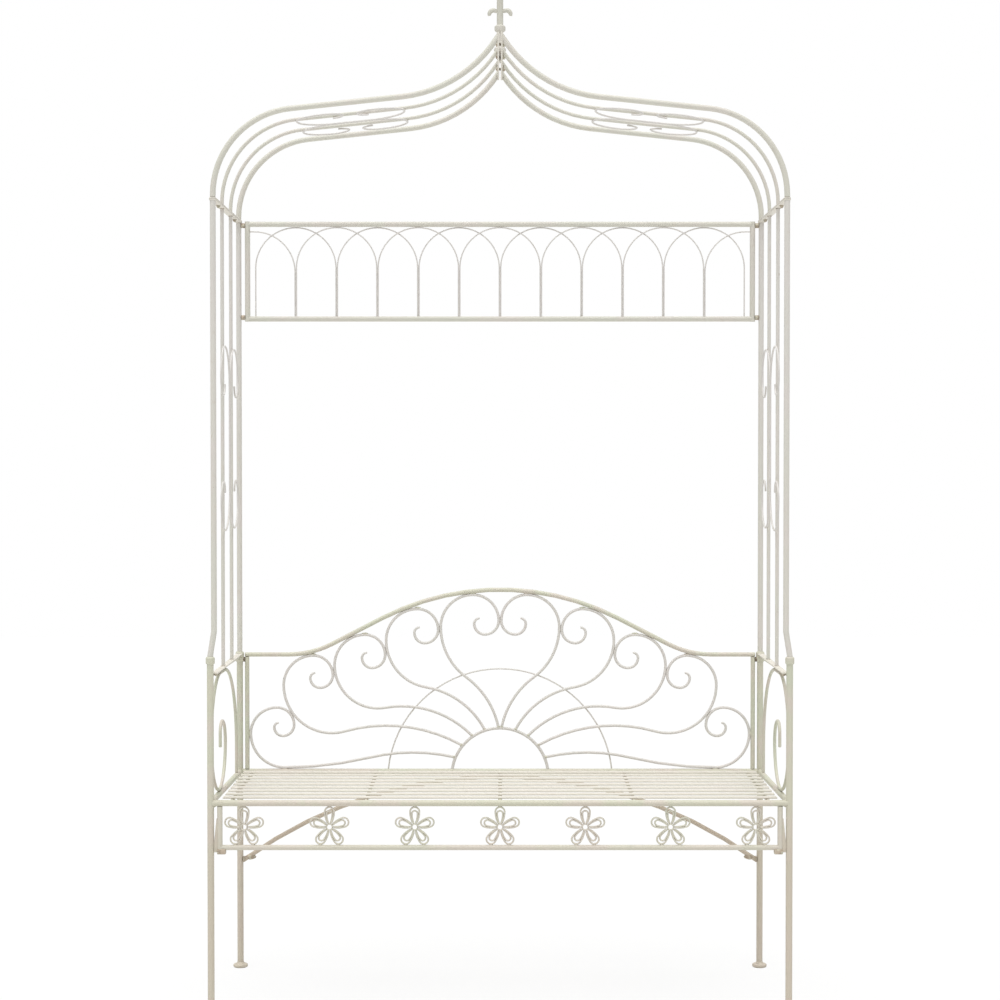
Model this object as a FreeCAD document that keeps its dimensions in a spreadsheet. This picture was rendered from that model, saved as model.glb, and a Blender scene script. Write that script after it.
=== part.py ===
import FreeCAD, Part
import math
import os
import re

# An arbour bench of painted iron: X to the right, Y to the back, Z up, millimetres.
# The floor is at Z = 0 and the middle of the four legs is at X = Y = 0.

SIZES = (
    # Side frames
    ("half_span", 600),
    ("rear_inset", 8),
    ("half_depth", 225),
    ("leg_diameter", 14),
    ("foot_diameter", 33),
    ("foot_height", 8),
    ("arm_rail_height", 710.5),
    ("front_leg_rise", 36.5),
    ("rear_leg_rise", 3.5),
    ("arm_rail_diameter", 7),
    # Clearances
    ("weld_gap", 0.1),
    ("touch_gap", 0.2),
    ("socket_gap", 0.2),
    # Arm scrolls
    ("arm_wire_diameter", 7),
    ("arm_base_radius", 115),
    ("arm_top_run", 63),
    ("arm_rear_inset", 49),
    ("arm_rear_rise", 60),
    ("arm_inner_radius", 90),
    ("arm_hook_radius", 50),
    ("arm_tip_radius", 26),
    ("arm_tip_run", 27),
    # Seat
    ("seat_rail_height", 447),
    ("seat_rail_diameter", 13),
    ("cross_bar_diameter", 8),
    ("cross_bar_inset", 40),
    ("slat_count", 9),
    ("slat_width", 22),
    ("slat_thickness", 3),
    ("slat_end_gap", 6),
    # Apron under the seat front
    ("apron_post_inset", 19),
    ("apron_rail_diameter", 11),
    ("apron_post_drop", 10),
    ("flower_inset", 69.3),
    ("petal_reach", 43),
    ("petal_width", 23),
    ("petal_strip", 3),
    ("petal_depth", 5),
    ("flower_ring_diameter", 16),
    # Rear brace
    ("brace_diameter", 10),
    ("brace_end_height", 247),
    ("brace_lug_thickness", 4),
    ("brace_lug_width", 16),
    ("brace_lug_height", 18),
    ("brace_lug_drop", 9),
    # Backrest
    ("back_post_inset", 16.7),
    ("back_rail_diameter", 10),
    ("back_rail_rise", 147.6),
    ("back_rail_flat", 94),
    ("back_rail_low_radius", 218),
    ("sun_radius", 110),
    ("sun_drop", 11),
    ("sun_wire_diameter", 6),
    ("halo_radius", 256),
    ("halo_drop", 22),
    ("halo_wire_diameter", 3.5),
    ("scroll_wire_diameter", 5.5),
    ("scroll_end_gap", 83),
    ("scroll_radius_step", 2),
    ("scroll_foot_top_angle", 88),
    ("scroll_foot_step_angle", 16.3),
    ("scroll_foot_lean_angle", 10),
    # Trellis sides
    ("joggle_height", 50),
    ("joggle_start", 6),
    ("post_diameter", 12),
    ("post_wall", 1),
    ("spigot_length", 40),
    ("thin_bar_diameter", 8),
    ("flat_width", 14),
    ("flat_thickness", 3),
    ("trellis_top", 1693),
    ("ornament_wire_diameter", 4),
    ("trellis_scroll_height", 392),
    # Canopy
    ("rib_rise", 5.7),
    ("shoulder_radius", 178),
    ("roof_pitch_angle", 6),
    ("sweep_radius", 269),
    ("ridge_angle", 57),
    ("ridge_flat_thickness", 4),
    ("ridge_flat_height", 22),
    ("roof_scroll_length", 230),
    ("ornament_radius", 80),
    # Finial
    ("tang_thickness", 3),
    ("tang_width", 24),
    ("finial_base_diameter", 26),
    ("finial_base_height", 8),
    ("finial_stem_diameter", 14),
    ("finial_bead_diameter", 24),
    ("finial_bead_height", 44),
    ("finial_leaf_height", 85),
    ("finial_leaf_diameter", 8),
    ("finial_leaf_radius", 8.5),
    ("finial_bud_height", 100),
    ("finial_bud_diameter", 25),
    ("finial_top_height", 178),
    # Pelmet
    ("pelmet_post_inset", 20),
    ("pelmet_rail_diameter", 12),
    ("pelmet_top_drop", 3),
    ("pelmet_height", 214),
    ("pelmet_wire_diameter", 3),
    ("pelmet_end_gap", 10.7),
    ("pelmet_end_drop", 9.5),
    # Spacers
    ("spacer_diameter", 11),
    ("back_spacer_drop", 11),
    ("pelmet_spacer_inset", 3),
)

doc = FreeCAD.newDocument("ArbourBench")
sheet = doc.addObject("Spreadsheet::Sheet", "Sizes")
for row, (alias, number) in enumerate(SIZES, start=1):
    sheet.set(f"A{row}", alias)
    sheet.set(f"B{row}", str(number))
    sheet.setAlias(f"B{row}", alias)
doc.recompute()


class Named:
    """The sheet's values as plain numbers, for routes that are worked out."""

    def __init__(self):
        for alias, number in SIZES:
            setattr(self, alias, float(sheet.get(alias)))


d = Named()
vector = FreeCAD.Vector
BAR_SIDES = 8
WIRE_SIDES = 6
THIN_SIDES = 4
nodes = []
TURNED = {
    "x": FreeCAD.Rotation(vector(0, 1, 0), 90),
    "y": FreeCAD.Rotation(vector(1, 0, 0), -90),
    "z": FreeCAD.Rotation(),
}


# Helpers for objects of the document


def cells(formula):
    """A formula whose words are sizes, with each written as its cell."""
    return re.sub(r"[a-z][a-z_]*", lambda word: "Sizes." + word.group(), formula)


def bind(thing, **formulas):
    for name, formula in formulas.items():
        thing.setExpression(name, cells(formula))
    return thing


def put(thing, base, axis="z"):
    """Place an object by three formulas, with its own Z along an axis."""
    thing.Placement = FreeCAD.Placement(vector(), TURNED[axis])
    for letter, formula in zip("xyz", base):
        thing.setExpression(f"Placement.Base.{letter}", cells(formula))
    return thing


def rod(name, radius, length, base, axis="z"):
    bar = doc.addObject("Part::Cylinder", name)
    bind(bar, Radius=radius, Height=length)
    return put(bar, base, axis)


def box(name, lengths, base):
    block = doc.addObject("Part::Box", name)
    bind(block, Length=lengths[0], Width=lengths[1], Height=lengths[2])
    return put(block, base)


def cut(name, base, tools):
    """Take tools away from a base, one after the other; the last cut has the name."""
    for number, tool in enumerate(tools, start=1):
        last = number == len(tools)
        result = doc.addObject("Part::Cut", name if last else f"{name}_cut_{number}")
        result.Base = base
        result.Tool = tool
        base = result
    return base


def joined(name, base, tool):
    result = doc.addObject("Part::Fuse", name)
    result.Base = base
    result.Tool = tool
    return result


def mirrored(name, source):
    other = doc.addObject("Part::Mirroring", name)
    other.Source = source
    other.Normal = vector(1, 0, 0)
    return other


def group(name, things):
    several = doc.addObject("Part::Compound", name)
    several.Links = things
    return several


def node(label, thing):
    thing.Label = label
    nodes.append(thing)
    return thing


def pair(label, source):
    """A left-hand piece and its mirror image as two nodes."""
    node(f"{label}_left", source)
    node(f"{label}_right", mirrored(f"{label}_other", source))


def both(label, source):
    """A left-hand piece and its mirror image as the solids of one node."""
    node(label, group(f"{label}_both", [source, mirrored(f"{label}_other", source)]))


# Flat routes of lines and arcs


class Route:
    """A flat chain of lines and arcs, each tangent to the one before."""

    def __init__(self, start, heading):
        self.start = start
        self.at = start
        self.first_heading = heading
        self.heading = heading
        self.runs = []

    def line(self, length):
        turn = math.radians(self.heading)
        end = (self.at[0] + length * math.cos(turn), self.at[1] + length * math.sin(turn))
        self.runs.append((self.at, None, end, None))
        self.at = end
        return self

    def turn(self, radius, angle):
        """An arc; a positive angle turns anticlockwise."""
        side = math.copysign(90, angle)
        to_centre = math.radians(self.heading + side)
        centre = (
            self.at[0] + radius * math.cos(to_centre),
            self.at[1] + radius * math.sin(to_centre),
        )
        from_centre = self.heading - side

        def around(share):
            at = math.radians(from_centre + share * angle)
            return (centre[0] + radius * math.cos(at), centre[1] + radius * math.sin(at))

        self.runs.append((self.at, around(0.5), around(1), (centre, radius, from_centre, angle)))
        self.at = around(1)
        self.heading += angle
        return self

    def arc_to(self, point):
        """The one arc that leaves along the heading and ends at a point."""
        across = point[0] - self.at[0]
        up = point[1] - self.at[1]
        off = math.degrees(math.atan2(up, across)) - self.heading
        off = (off + 180) % 360 - 180
        radius = math.hypot(across, up) / (2 * math.sin(math.radians(abs(off))))
        return self.turn(radius, 2 * off)

    def swing_to(self, point, heading):
        """Two arcs that end at a point with a heading."""
        leave = (math.cos(math.radians(self.heading)), math.sin(math.radians(self.heading)))
        arrive = (math.cos(math.radians(heading)), math.sin(math.radians(heading)))
        across = (point[0] - self.at[0], point[1] - self.at[1])
        both_ways = (leave[0] + arrive[0], leave[1] + arrive[1])
        reach = across[0] * both_ways[0] + across[1] * both_ways[1]
        bend = 2 * (1 - leave[0] * arrive[0] - leave[1] * arrive[1])
        far = across[0] ** 2 + across[1] ** 2
        handle = (math.sqrt(reach**2 + bend * far) - reach) / bend
        middle = (
            (self.at[0] + point[0] + handle * (leave[0] - arrive[0])) / 2,
            (self.at[1] + point[1] + handle * (leave[1] - arrive[1])) / 2,
        )
        return self.arc_to(middle).arc_to(point)

    def distance(self, point):
        """How near the route comes to a point."""
        return min(near(run, point) for run in self.runs)

    def lowest(self):
        """The least height of the route's ends, joints and arcs."""
        heights = [self.start[1]]
        for start, middle, end, arc in self.runs:
            heights.append(end[1])
            if arc and (270 - arc[2] if arc[3] > 0 else arc[2] + 90) % 360 < abs(arc[3]):
                heights.append(arc[0][1] - arc[1])
        return min(heights)

    def wire(self, place):
        edges = []
        for start, middle, end, arc in self.runs:
            if arc:
                edges.append(Part.Arc(place(*start), place(*middle), place(*end)).toShape())
            else:
                edges.append(Part.makeLine(place(*start), place(*end)))
        return Part.Wire(edges)


def near(run, point):
    start, middle, end, arc = run
    ends = min(math.dist(start, point), math.dist(end, point))
    if arc:
        centre, radius, from_centre, angle = arc
        at = math.degrees(math.atan2(point[1] - centre[1], point[0] - centre[0]))
        swept = (at - from_centre if angle > 0 else from_centre - at) % 360
        return abs(math.dist(centre, point) - radius) if swept < abs(angle) else ends
    length = math.dist(start, end)
    along = [(end[axis] - start[axis]) / length for axis in (0, 1)]
    share = sum((point[axis] - start[axis]) * along[axis] for axis in (0, 1))
    if not 0 < share < length:
        return ends
    return abs((point[0] - start[0]) * along[1] - (point[1] - start[1]) * along[0])


def solve(rule, low, high):
    """Where a rule that is below zero at low and above it at high crosses zero."""
    for step in range(40):
        middle = (low + high) / 2
        if rule(middle) < 0:
            low = middle
        else:
            high = middle
    return (low + high) / 2


def swept(name, ring, wire):
    """A bar with the section of a ring along a wire that starts at the ring."""
    spine = doc.addObject("Part::Feature", f"{name}_line")
    spine.Shape = wire
    bar = doc.addObject("Part::Sweep", name)
    bar.Sections = [ring]
    bar.Spine = (spine, [f"Edge{number + 1}" for number in range(len(wire.Edges))])
    bar.Solid = True
    return bar


def bent(name, route, place, radius, sides):
    """A bar with flat sides along a route, drawn in the plane that place gives."""
    start = place(*route.start)
    ahead = math.radians(route.first_heading)
    way = place(route.start[0] + math.cos(ahead), route.start[1] + math.sin(ahead)) - start
    left = place(route.start[0] - math.sin(ahead), route.start[1] + math.cos(ahead)) - start
    corner = 1 / math.cos(math.pi / sides)
    ring = doc.addObject("Part::RegularPolygon", f"{name}_ring")
    ring.Polygon = sides
    bind(ring, Circumradius=f"{radius} * {corner:.6f}")
    facing = FreeCAD.Rotation(left, way.cross(left), way, "ZXY")
    flats = FreeCAD.Rotation(vector(0, 0, 1), 180 / sides)
    ring.Placement = FreeCAD.Placement(start, facing.multiply(flats))
    return swept(name, ring, route.wire(place))


def back_plane(across, up):
    return vector(-across, d.half_depth, up)


# Side frames

leg_radius = d.leg_diameter / 2
seat_rail_radius = d.seat_rail_diameter / 2
rear_span = d.half_span - d.rear_inset
front_leg_top = d.arm_rail_height + d.front_leg_rise
rear_leg_top = d.arm_rail_height + d.rear_leg_rise
side_way = vector(d.rear_inset, 2 * d.half_depth, 0)
ROWS = {"front": ("half_span", "-half_depth"), "rear": ("(half_span - rear_inset)", "half_depth")}


def leg(row):
    across, depth = ROWS[row]
    base = (f"-{across}", depth, "foot_height")
    length = f"arm_rail_height + {row}_leg_rise - foot_height"
    outside = rod(f"{row}_leg_outside", "leg_diameter / 2", length, base)
    bore = rod(f"{row}_leg_bore", "post_diameter / 2 + socket_gap", length, base)
    return cut(f"{row}_leg_tube", outside, [bore])


def leg_cope(name, row, side="-"):
    """What a bar loses where it meets a leg."""
    across, depth = ROWS[row]
    base = (f"{side}{across}", depth, "foot_height")
    return rod(name, "leg_diameter / 2 + weld_gap", "arm_rail_height + rear_leg_rise", base)


def feet():
    discs = []
    for across, depth in ROWS.values():
        for side in ("-", ""):
            base = (f"{side}{across}", depth, "0")
            discs.append(rod(f"foot_{len(discs) + 1}", "foot_diameter / 2", "foot_height", base))
    node("foot_discs", group("foot_discs_all", discs))


def side_bar(name, height, radius, side=-1):
    """A round bar from a front leg's axis to the axis of the rear leg, which stands a little further in."""
    bar = bind(doc.addObject("Part::Cylinder", name), Radius=radius)
    bar.Height = side_way.Length
    inward = FreeCAD.Rotation(vector(0, 0, 1), vector(-side * side_way.x, side_way.y, 0))
    bar.Placement = FreeCAD.Placement(vector(side * d.half_span, -d.half_depth, 0), inward)
    bar.setExpression("Placement.Base.z", cells(height))
    return bar


def depth_rail(name, height, diameter):
    """A bar from front leg to rear leg, coped to both."""
    bar = side_bar(f"{name}_bar", height, f"{diameter} / 2")
    return cut(f"{name}_coped", bar, [leg_cope(f"{name}_cope_{row}", row) for row in ROWS])


feet()
pair("front_leg", leg("front"))
pair("rear_leg", leg("rear"))
both("arm_rails", depth_rail("arm_rail", "arm_rail_height", "arm_rail_diameter"))
both("side_rails", depth_rail("side_rail", "seat_rail_height", "seat_rail_diameter"))


def arm_scroll():
    """From the side rail up to the arm rail, down the front leg, back to the side rail and into a hook."""
    wire = d.arm_wire_diameter / 2
    top = d.arm_rail_height - d.arm_rail_diameter / 2 - d.touch_gap - wire
    bottom = d.seat_rail_height + seat_rail_radius + d.touch_gap + wire
    reach = side_way.Length / 2 - leg_radius - d.touch_gap - wire
    front_radius = top - bottom - d.arm_base_radius
    crest = front_radius - reach + d.arm_top_run
    route = Route((reach - d.arm_rear_inset, bottom - wire), 90).line(d.arm_rear_rise)
    route.swing_to((crest, top), 180).line(d.arm_top_run)
    route.turn(front_radius, 90).turn(d.arm_base_radius, 90)
    route.turn(d.arm_inner_radius, 90).turn(d.arm_hook_radius, 90).turn(d.arm_tip_radius, 90)
    route.line(d.arm_tip_run)
    middle = vector(d.rear_inset / 2 - d.half_span, 0, 0)
    along = side_way / side_way.Length
    side_plane = lambda out, up: middle + along * out + vector(0, 0, up)
    return bent("arm_scroll", route, side_plane, "arm_wire_diameter / 2", WIRE_SIDES)


pair("arm_scroll", arm_scroll())

# Seat


def span_rail(name, row):
    """A bar from left leg to right leg at seat height, coped to both and to the side rails."""
    across, depth = ROWS[row]
    start = (f"-{across}", depth, "seat_rail_height")
    bar = rod(f"{name}_bar", "seat_rail_diameter / 2", f"2 * {across}", start, "x")
    clear = "seat_rail_diameter / 2 + weld_gap"
    copes = []
    for side, sign in ((-1, "-"), (1, "")):
        copes.append(leg_cope(f"{name}_cope_{len(copes) + 1}", row, sign))
        copes.append(side_bar(f"{name}_cope_{len(copes) + 1}", "seat_rail_height", clear, side))
    return node(name, cut(f"{name}_coped", bar, copes))


span_rail("seat_front_rail", "front")
span_rail("seat_back_rail", "rear")


def seat():
    reach = "half_depth - seat_rail_diameter / 2 - weld_gap"
    slat_low = "seat_rail_height + seat_rail_diameter / 2 - slat_thickness"
    bar_height = f"{slat_low} - cross_bar_diameter / 2 - weld_gap"
    bars = []
    for place in range(-2, 3):
        across = f"(half_span - cross_bar_inset) * {place} / 2"
        base = (across, f"-({reach})", bar_height)
        name = f"cross_bar_{place + 3}"
        bars.append(rod(name, "cross_bar_diameter / 2", f"2 * ({reach})", base, "y"))
    node("seat_cross_bars", group("cross_bars_all", bars))

    half_length = "(half_span - rear_inset - seat_rail_diameter / 2 - slat_end_gap)"
    slats = []
    for number in range(1, round(d.slat_count) + 1):
        depth = f"-half_depth + 2 * half_depth * {number} / (slat_count + 1) - slat_width / 2"
        slats.append(
            box(
                f"slat_{number}",
                (f"2 * {half_length}", "slat_width", "slat_thickness"),
                (f"-{half_length}", depth, slat_low),
            )
        )
    node("seat_slats", group("slats_all", slats))


seat()

# Apron under the seat front

LOW_PETAL = math.cos(math.radians(36))
flower_height = d.seat_rail_height - seat_rail_radius - d.touch_gap - d.petal_reach
petal_tip = d.petal_reach - d.petal_width / 2
apron_rail_height = (
    flower_height - petal_tip * LOW_PETAL - d.petal_width / 2 - d.touch_gap - d.apron_rail_diameter / 2
)


def drop_outline(tip, radius, root):
    """A closed drop: a round tip on the X axis and two straight sides to a blunt root."""
    lean = math.asin((radius - root[1]) / (tip - root[0]))
    side = (tip - radius * math.sin(lean), radius * math.cos(lean))
    corners = [vector(root[0], root[1], 0), vector(side[0], side[1], 0)]
    below = [vector(corner.x, -corner.y, 0) for corner in corners]
    edges = [
        Part.makeLine(corners[0], corners[1]),
        Part.Arc(corners[1], vector(tip + radius, 0, 0), below[1]).toShape(),
        Part.makeLine(below[1], below[0]),
        Part.makeLine(below[0], corners[0]),
    ]
    return Part.Wire(edges)


def petal_face():
    """One petal: a strip bent into a drop-shaped loop."""
    tip_radius = d.petal_width / 2
    start = d.flower_ring_diameter / 2 + d.weld_gap
    root = start * math.tan(math.radians(36)) - d.touch_gap
    outer = drop_outline(petal_tip, tip_radius, (start, root))
    opening = drop_outline(petal_tip, tip_radius - d.petal_strip, (start + d.petal_strip, root / 3))
    return Part.makeFace([outer, opening], "Part::FaceMakerBullseye")


def flower(name, across, outline):
    """Five petals round a ring, one petal upright."""
    centre = vector(across, -d.half_depth, flower_height)
    lying = FreeCAD.Rotation(vector(1, 0, 0), 90)
    pieces = []
    for turn in range(5):
        petal = doc.addObject("Part::Extrusion", f"{name}_petal_{turn + 1}")
        petal.Base = outline
        petal.DirMode = "Custom"
        petal.Dir = vector(0, 0, 1)
        bind(petal, LengthFwd="petal_depth / 2", LengthRev="petal_depth / 2")
        petal.Solid = True
        upright = FreeCAD.Rotation(vector(0, 0, 1), 90 + 72 * turn)
        petal.Placement = FreeCAD.Placement(centre, lying.multiply(upright))
        pieces.append(petal)
    start = FreeCAD.Placement(centre - vector(0, d.petal_depth / 2, 0), TURNED["y"])
    rim = doc.addObject("Part::Cylinder", f"{name}_rim")
    bind(rim, Radius="flower_ring_diameter / 2", Height="petal_depth")
    bore = doc.addObject("Part::Cylinder", f"{name}_bore")
    bind(bore, Radius="flower_ring_diameter / 2 - petal_strip", Height="petal_depth")
    rim.Placement = start
    bore.Placement = start
    pieces.append(cut(f"{name}_ring", rim, [bore]))
    return group(f"{name}_all", pieces)


def apron():
    outline = doc.addObject("Part::Feature", "petal_outline")
    outline.Shape = petal_face()
    pitch = (d.half_span - d.flower_inset) / 3
    for place in range(-3, 4):
        name = f"apron_flower_{place + 4}"
        node(name, flower(name, place * pitch, outline))

    radius = d.apron_rail_diameter / 2
    across = d.half_span - d.apron_post_inset
    post = bind(doc.addObject("Part::Cylinder", "apron_post_bar"), Radius="apron_rail_diameter / 2")
    low = apron_rail_height - d.apron_post_drop
    post.Height = d.seat_rail_height - seat_rail_radius - d.weld_gap - low
    post.Placement.Base = vector(-across, -d.half_depth, low)
    tip = doc.addObject("Part::Cone", "apron_post_tip")
    bind(tip, Radius1="apron_rail_diameter / 4", Radius2="apron_rail_diameter / 2")
    bind(tip, Height="apron_rail_diameter / 3")
    tip.Placement.Base = vector(-across, -d.half_depth, low - d.apron_rail_diameter / 3)
    both("apron_posts", joined("apron_post", post, tip))

    rail = bind(doc.addObject("Part::Cylinder", "apron_rail_bar"), Radius="apron_rail_diameter / 2")
    rail.Height = 2 * across
    rail.Placement = FreeCAD.Placement(vector(-across, -d.half_depth, apron_rail_height), TURNED["x"])
    copes = []
    for side in (-1, 1):
        cope = doc.addObject("Part::Cylinder", f"apron_rail_cope_{len(copes) + 1}")
        bind(cope, Radius="apron_rail_diameter / 2 + weld_gap")
        cope.Height = 6 * radius
        cope.Placement.Base = vector(side * across, -d.half_depth, apron_rail_height - 3 * radius)
        copes.append(cope)
    node("apron_lower_rail", cut("apron_rail", rail, copes))


apron()

# Rear brace


def brace():
    radius = d.brace_diameter / 2
    inner_face = rear_span - leg_radius - d.weld_gap - d.brace_lug_thickness - d.weld_gap
    apex = d.seat_rail_height - seat_rail_radius - d.touch_gap - radius
    rise = apex - d.brace_end_height
    slope = 2 * math.degrees(math.atan2(rise, inner_face))
    bend_radius = (inner_face**2 + rise**2) / (2 * rise)
    spare = math.degrees(2 * d.brace_diameter / bend_radius)
    reach = slope + spare
    start = (
        -bend_radius * math.sin(math.radians(reach)),
        apex - bend_radius * (1 - math.cos(math.radians(reach))),
    )
    route = Route(start, reach).turn(bend_radius, -2 * reach)
    bar = bent("brace_bar", route, back_plane, "brace_diameter / 2", BAR_SIDES)
    trims = []
    for side in (-1, 1):
        trim = doc.addObject("Part::Box", f"brace_trim_{len(trims) + 1}")
        trim.Length = trim.Width = trim.Height = 8 * d.brace_diameter
        middle = side * (inner_face + 4 * d.brace_diameter)
        centre = vector(middle, d.half_depth, d.brace_end_height)
        trim.Placement.Base = centre - vector(1, 1, 1) * (4 * d.brace_diameter)
        trims.append(trim)
    node("rear_arch_brace", cut("brace", bar, trims))

    lug = doc.addObject("Part::Box", "brace_lug_plate")
    bind(lug, Length="brace_lug_thickness", Width="brace_lug_width", Height="brace_lug_height")
    put(
        lug,
        (
            "-half_span + rear_inset + leg_diameter / 2 + weld_gap",
            "half_depth - brace_lug_width / 2",
            "brace_end_height - brace_lug_drop",
        ),
    )
    both("brace_lugs", lug)


brace()

# Backrest

back_post = rear_span - d.back_post_inset
back_rail_low = rear_leg_top
back_rail_radius = d.back_rail_diameter / 2
seat_rail_top = d.seat_rail_height + seat_rail_radius
scroll_wire = d.scroll_wire_diameter / 2
RAIL_SLOPE_SHARE = 1.6
MIDDLE_CURL = (1, 0.8, 0.43, 0.33, 0.17)
CURL = (1, 0.66, 0.43, 0.33, 0.17)
LAST_BEND_SHARE = 1.3


def back_rail_route():
    """A flat end, a hollow arc, a slope and a crown, then the same again the other way."""
    run = back_post - d.back_rail_flat
    slope = RAIL_SLOPE_SHARE * math.degrees(math.atan2(d.back_rail_rise, run))
    lean = math.radians(slope)
    radii = (run * math.sin(lean) - d.back_rail_rise * math.cos(lean)) / (1 - math.cos(lean))
    straight = (run - radii * math.sin(lean)) / math.cos(lean)
    crown = radii - d.back_rail_low_radius
    route = Route((-back_post - back_rail_radius, back_rail_low), 0)
    route.line(d.back_rail_flat + back_rail_radius)
    route.turn(d.back_rail_low_radius, slope).line(straight).turn(crown, -2 * slope)
    route.line(straight).turn(d.back_rail_low_radius, slope)
    return route.line(d.back_rail_flat + back_rail_radius)


rail_route = back_rail_route()


def arch_route(radius, drop, end_height):
    """A round arch over the seat's back rail, from its left foot to its right foot."""
    centre = d.seat_rail_height - drop
    foot = math.degrees(math.asin((end_height - centre) / radius))
    start = (-radius * math.cos(math.radians(foot)), end_height)
    return Route(start, 90 - foot).turn(radius, -(180 - 2 * foot))


def scroll_foot(number):
    """The start of a back scroll, on the sun."""
    angle = d.scroll_foot_top_angle - d.scroll_foot_step_angle * number
    foot_radius = d.sun_radius + d.sun_wire_diameter / 2 + d.touch_gap
    foot_radius += scroll_wire * math.sin(math.radians(d.scroll_foot_lean_angle))
    foot = (
        foot_radius * math.cos(math.radians(angle)),
        d.seat_rail_height - d.sun_drop + foot_radius * math.sin(math.radians(angle)),
    )
    return Route(foot, angle - d.scroll_foot_lean_angle)


def curled(route, radius, shares):
    """A scroll's stem with its curl of ever smaller quarter turns."""
    for share in shares:
        route.turn(share * radius, 90)
    return route


def under_rail(outer, radius):
    """The height at which a scroll's curl touches the top rail from below."""
    clear = radius + scroll_wire + d.touch_gap + back_rail_radius
    middle = outer - radius
    top = back_rail_low + d.back_rail_rise
    return solve(lambda height: clear - rail_route.distance((middle, height)), seat_rail_top, top - clear)


def beside(route, outer, height, radius):
    """How far a scroll's curl stays from the scroll before it, less what it needs."""
    second = CURL[1] * radius
    middle = (outer - radius, height + radius - second)
    return route.distance(middle) - second - 2 * scroll_wire - d.touch_gap


def hanging_scrolls(first_radius):
    """Four scrolls under the top rail, the first at the middle and each against the one before."""
    routes = []
    for number in range(4):
        radius = first_radius - number * d.scroll_radius_step
        if routes:
            near_side, far_side = outer + radius, outer + 3 * radius
            gap = lambda across: beside(routes[-1], across, under_rail(across, radius), radius)
            outer = solve(gap, near_side, far_side)
        else:
            outer = scroll_wire + d.touch_gap / 2 + radius * (1 + MIDDLE_CURL[1])
        stem = scroll_foot(number).swing_to((outer, under_rail(outer, radius)), 90)
        routes.append(curled(stem, radius, CURL if routes else MIDDLE_CURL))
    return routes, outer


def last_scroll_route(before):
    """The fifth scroll: its stem on the seat's back rail, its curl against the post and the fourth scroll."""
    outer = back_post - back_rail_radius - d.touch_gap - scroll_wire
    floor = seat_rail_top + d.touch_gap + scroll_wire
    height = lambda radius: floor + LAST_BEND_SHARE * radius
    most = (back_rail_low - floor) / (1 + LAST_BEND_SHARE)
    beside_fourth = solve(lambda radius: -beside(before, outer, height(radius), radius), 0, most)
    below_rail = solve(lambda radius: height(radius) - under_rail(outer, radius), 0, most)
    radius = min(beside_fourth, below_rail)
    bend = LAST_BEND_SHARE * radius
    stem = scroll_foot(4).swing_to((outer - bend, floor), 0).turn(bend, 90)
    return curled(stem, radius, CURL)


def back_scroll_routes():
    """The scrolls on one side, as large as the span lets them be."""
    end = back_post - d.scroll_end_gap
    first_radius = solve(lambda radius: hanging_scrolls(radius)[1] - end, end / 12, end / 4)
    routes = hanging_scrolls(first_radius)[0]
    return routes + [last_scroll_route(routes[-1])]


def backrest():
    rail = bent("back_rail", rail_route, back_plane, "back_rail_diameter / 2", BAR_SIDES)
    node("back_top_rail", rail)

    foot = "seat_rail_height + seat_rail_diameter / 2 + weld_gap"
    top = "arm_rail_height + rear_leg_rise - back_rail_diameter / 2 - weld_gap"
    start = ("-half_span + rear_inset + back_post_inset", "half_depth", foot)
    both("back_posts", rod("back_post", "back_rail_diameter / 2", f"{top} - ({foot})", start))

    sun = arch_route(d.sun_radius, d.sun_drop, d.seat_rail_height)
    rail_cope = rod(
        "sun_cope",
        "seat_rail_diameter / 2 + weld_gap",
        "2 * half_span",
        ("-half_span", "half_depth", "seat_rail_height"),
        "x",
    )
    sun_bar = bent("sun_bar", sun, back_plane, "sun_wire_diameter / 2", WIRE_SIDES)
    node("sun_arch", cut("sun", sun_bar, [rail_cope]))

    behind = scroll_wire / math.cos(math.pi / WIRE_SIDES) + d.halo_wire_diameter / 2 + d.touch_gap
    nearest = behind - d.halo_wire_diameter / 2
    halo_foot = d.seat_rail_height + math.sqrt(seat_rail_radius**2 - nearest**2) + 2 * d.touch_gap
    halo = arch_route(d.halo_radius, d.halo_drop, halo_foot)
    halo_plane = lambda across, up: vector(-across, d.half_depth + behind, up)
    node("halo_arch", bent("halo", halo, halo_plane, "halo_wire_diameter / 2", THIN_SIDES))

    for number, route in enumerate(back_scroll_routes(), start=1):
        scroll = bent(f"back_scroll_{number}", route, back_plane, "scroll_wire_diameter / 2", WIRE_SIDES)
        node(f"back_scroll_left_{number}", scroll)
        node(f"back_scroll_right_{number}", mirrored(f"back_scroll_other_{number}", scroll))


backrest()

# Trellis sides

trellis_x = rear_span
thin_depth = d.half_depth / 3
pelmet_post = trellis_x - d.pelmet_post_inset


def trellis_post(name, points):
    """A tube along its corner points, with its foot in the socket of a leg's top."""
    bars = []
    for part, radius in (("outside", "post_diameter / 2"), ("inside", "post_diameter / 2 - post_wall")):
        ring = bind(doc.addObject("Part::Circle", f"{name}_{part}_ring"), Radius=radius)
        ring.Placement.Base = points[0]
        bar = swept(f"{name}_{part}", ring, Part.makePolygon(points))
        bar.Transition = "Right corner"
        bars.append(bar)
    return cut(f"{name}_tube", bars[0], bars[1:])


def flat(name, low, half_length):
    """A flat bar from front to back in the trellis plane."""
    plate = doc.addObject("Part::Box", f"{name}_plate")
    bind(plate, Length="flat_width", Height="flat_thickness")
    plate.Width = 2 * half_length
    plate.Placement.Base = vector(-trellis_x - d.flat_width / 2, -half_length, low)
    return plate


trellis_scroll_plane = -trellis_x + d.thin_bar_diameter / 2 + d.ornament_wire_diameter / 2 + d.touch_gap


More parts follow.
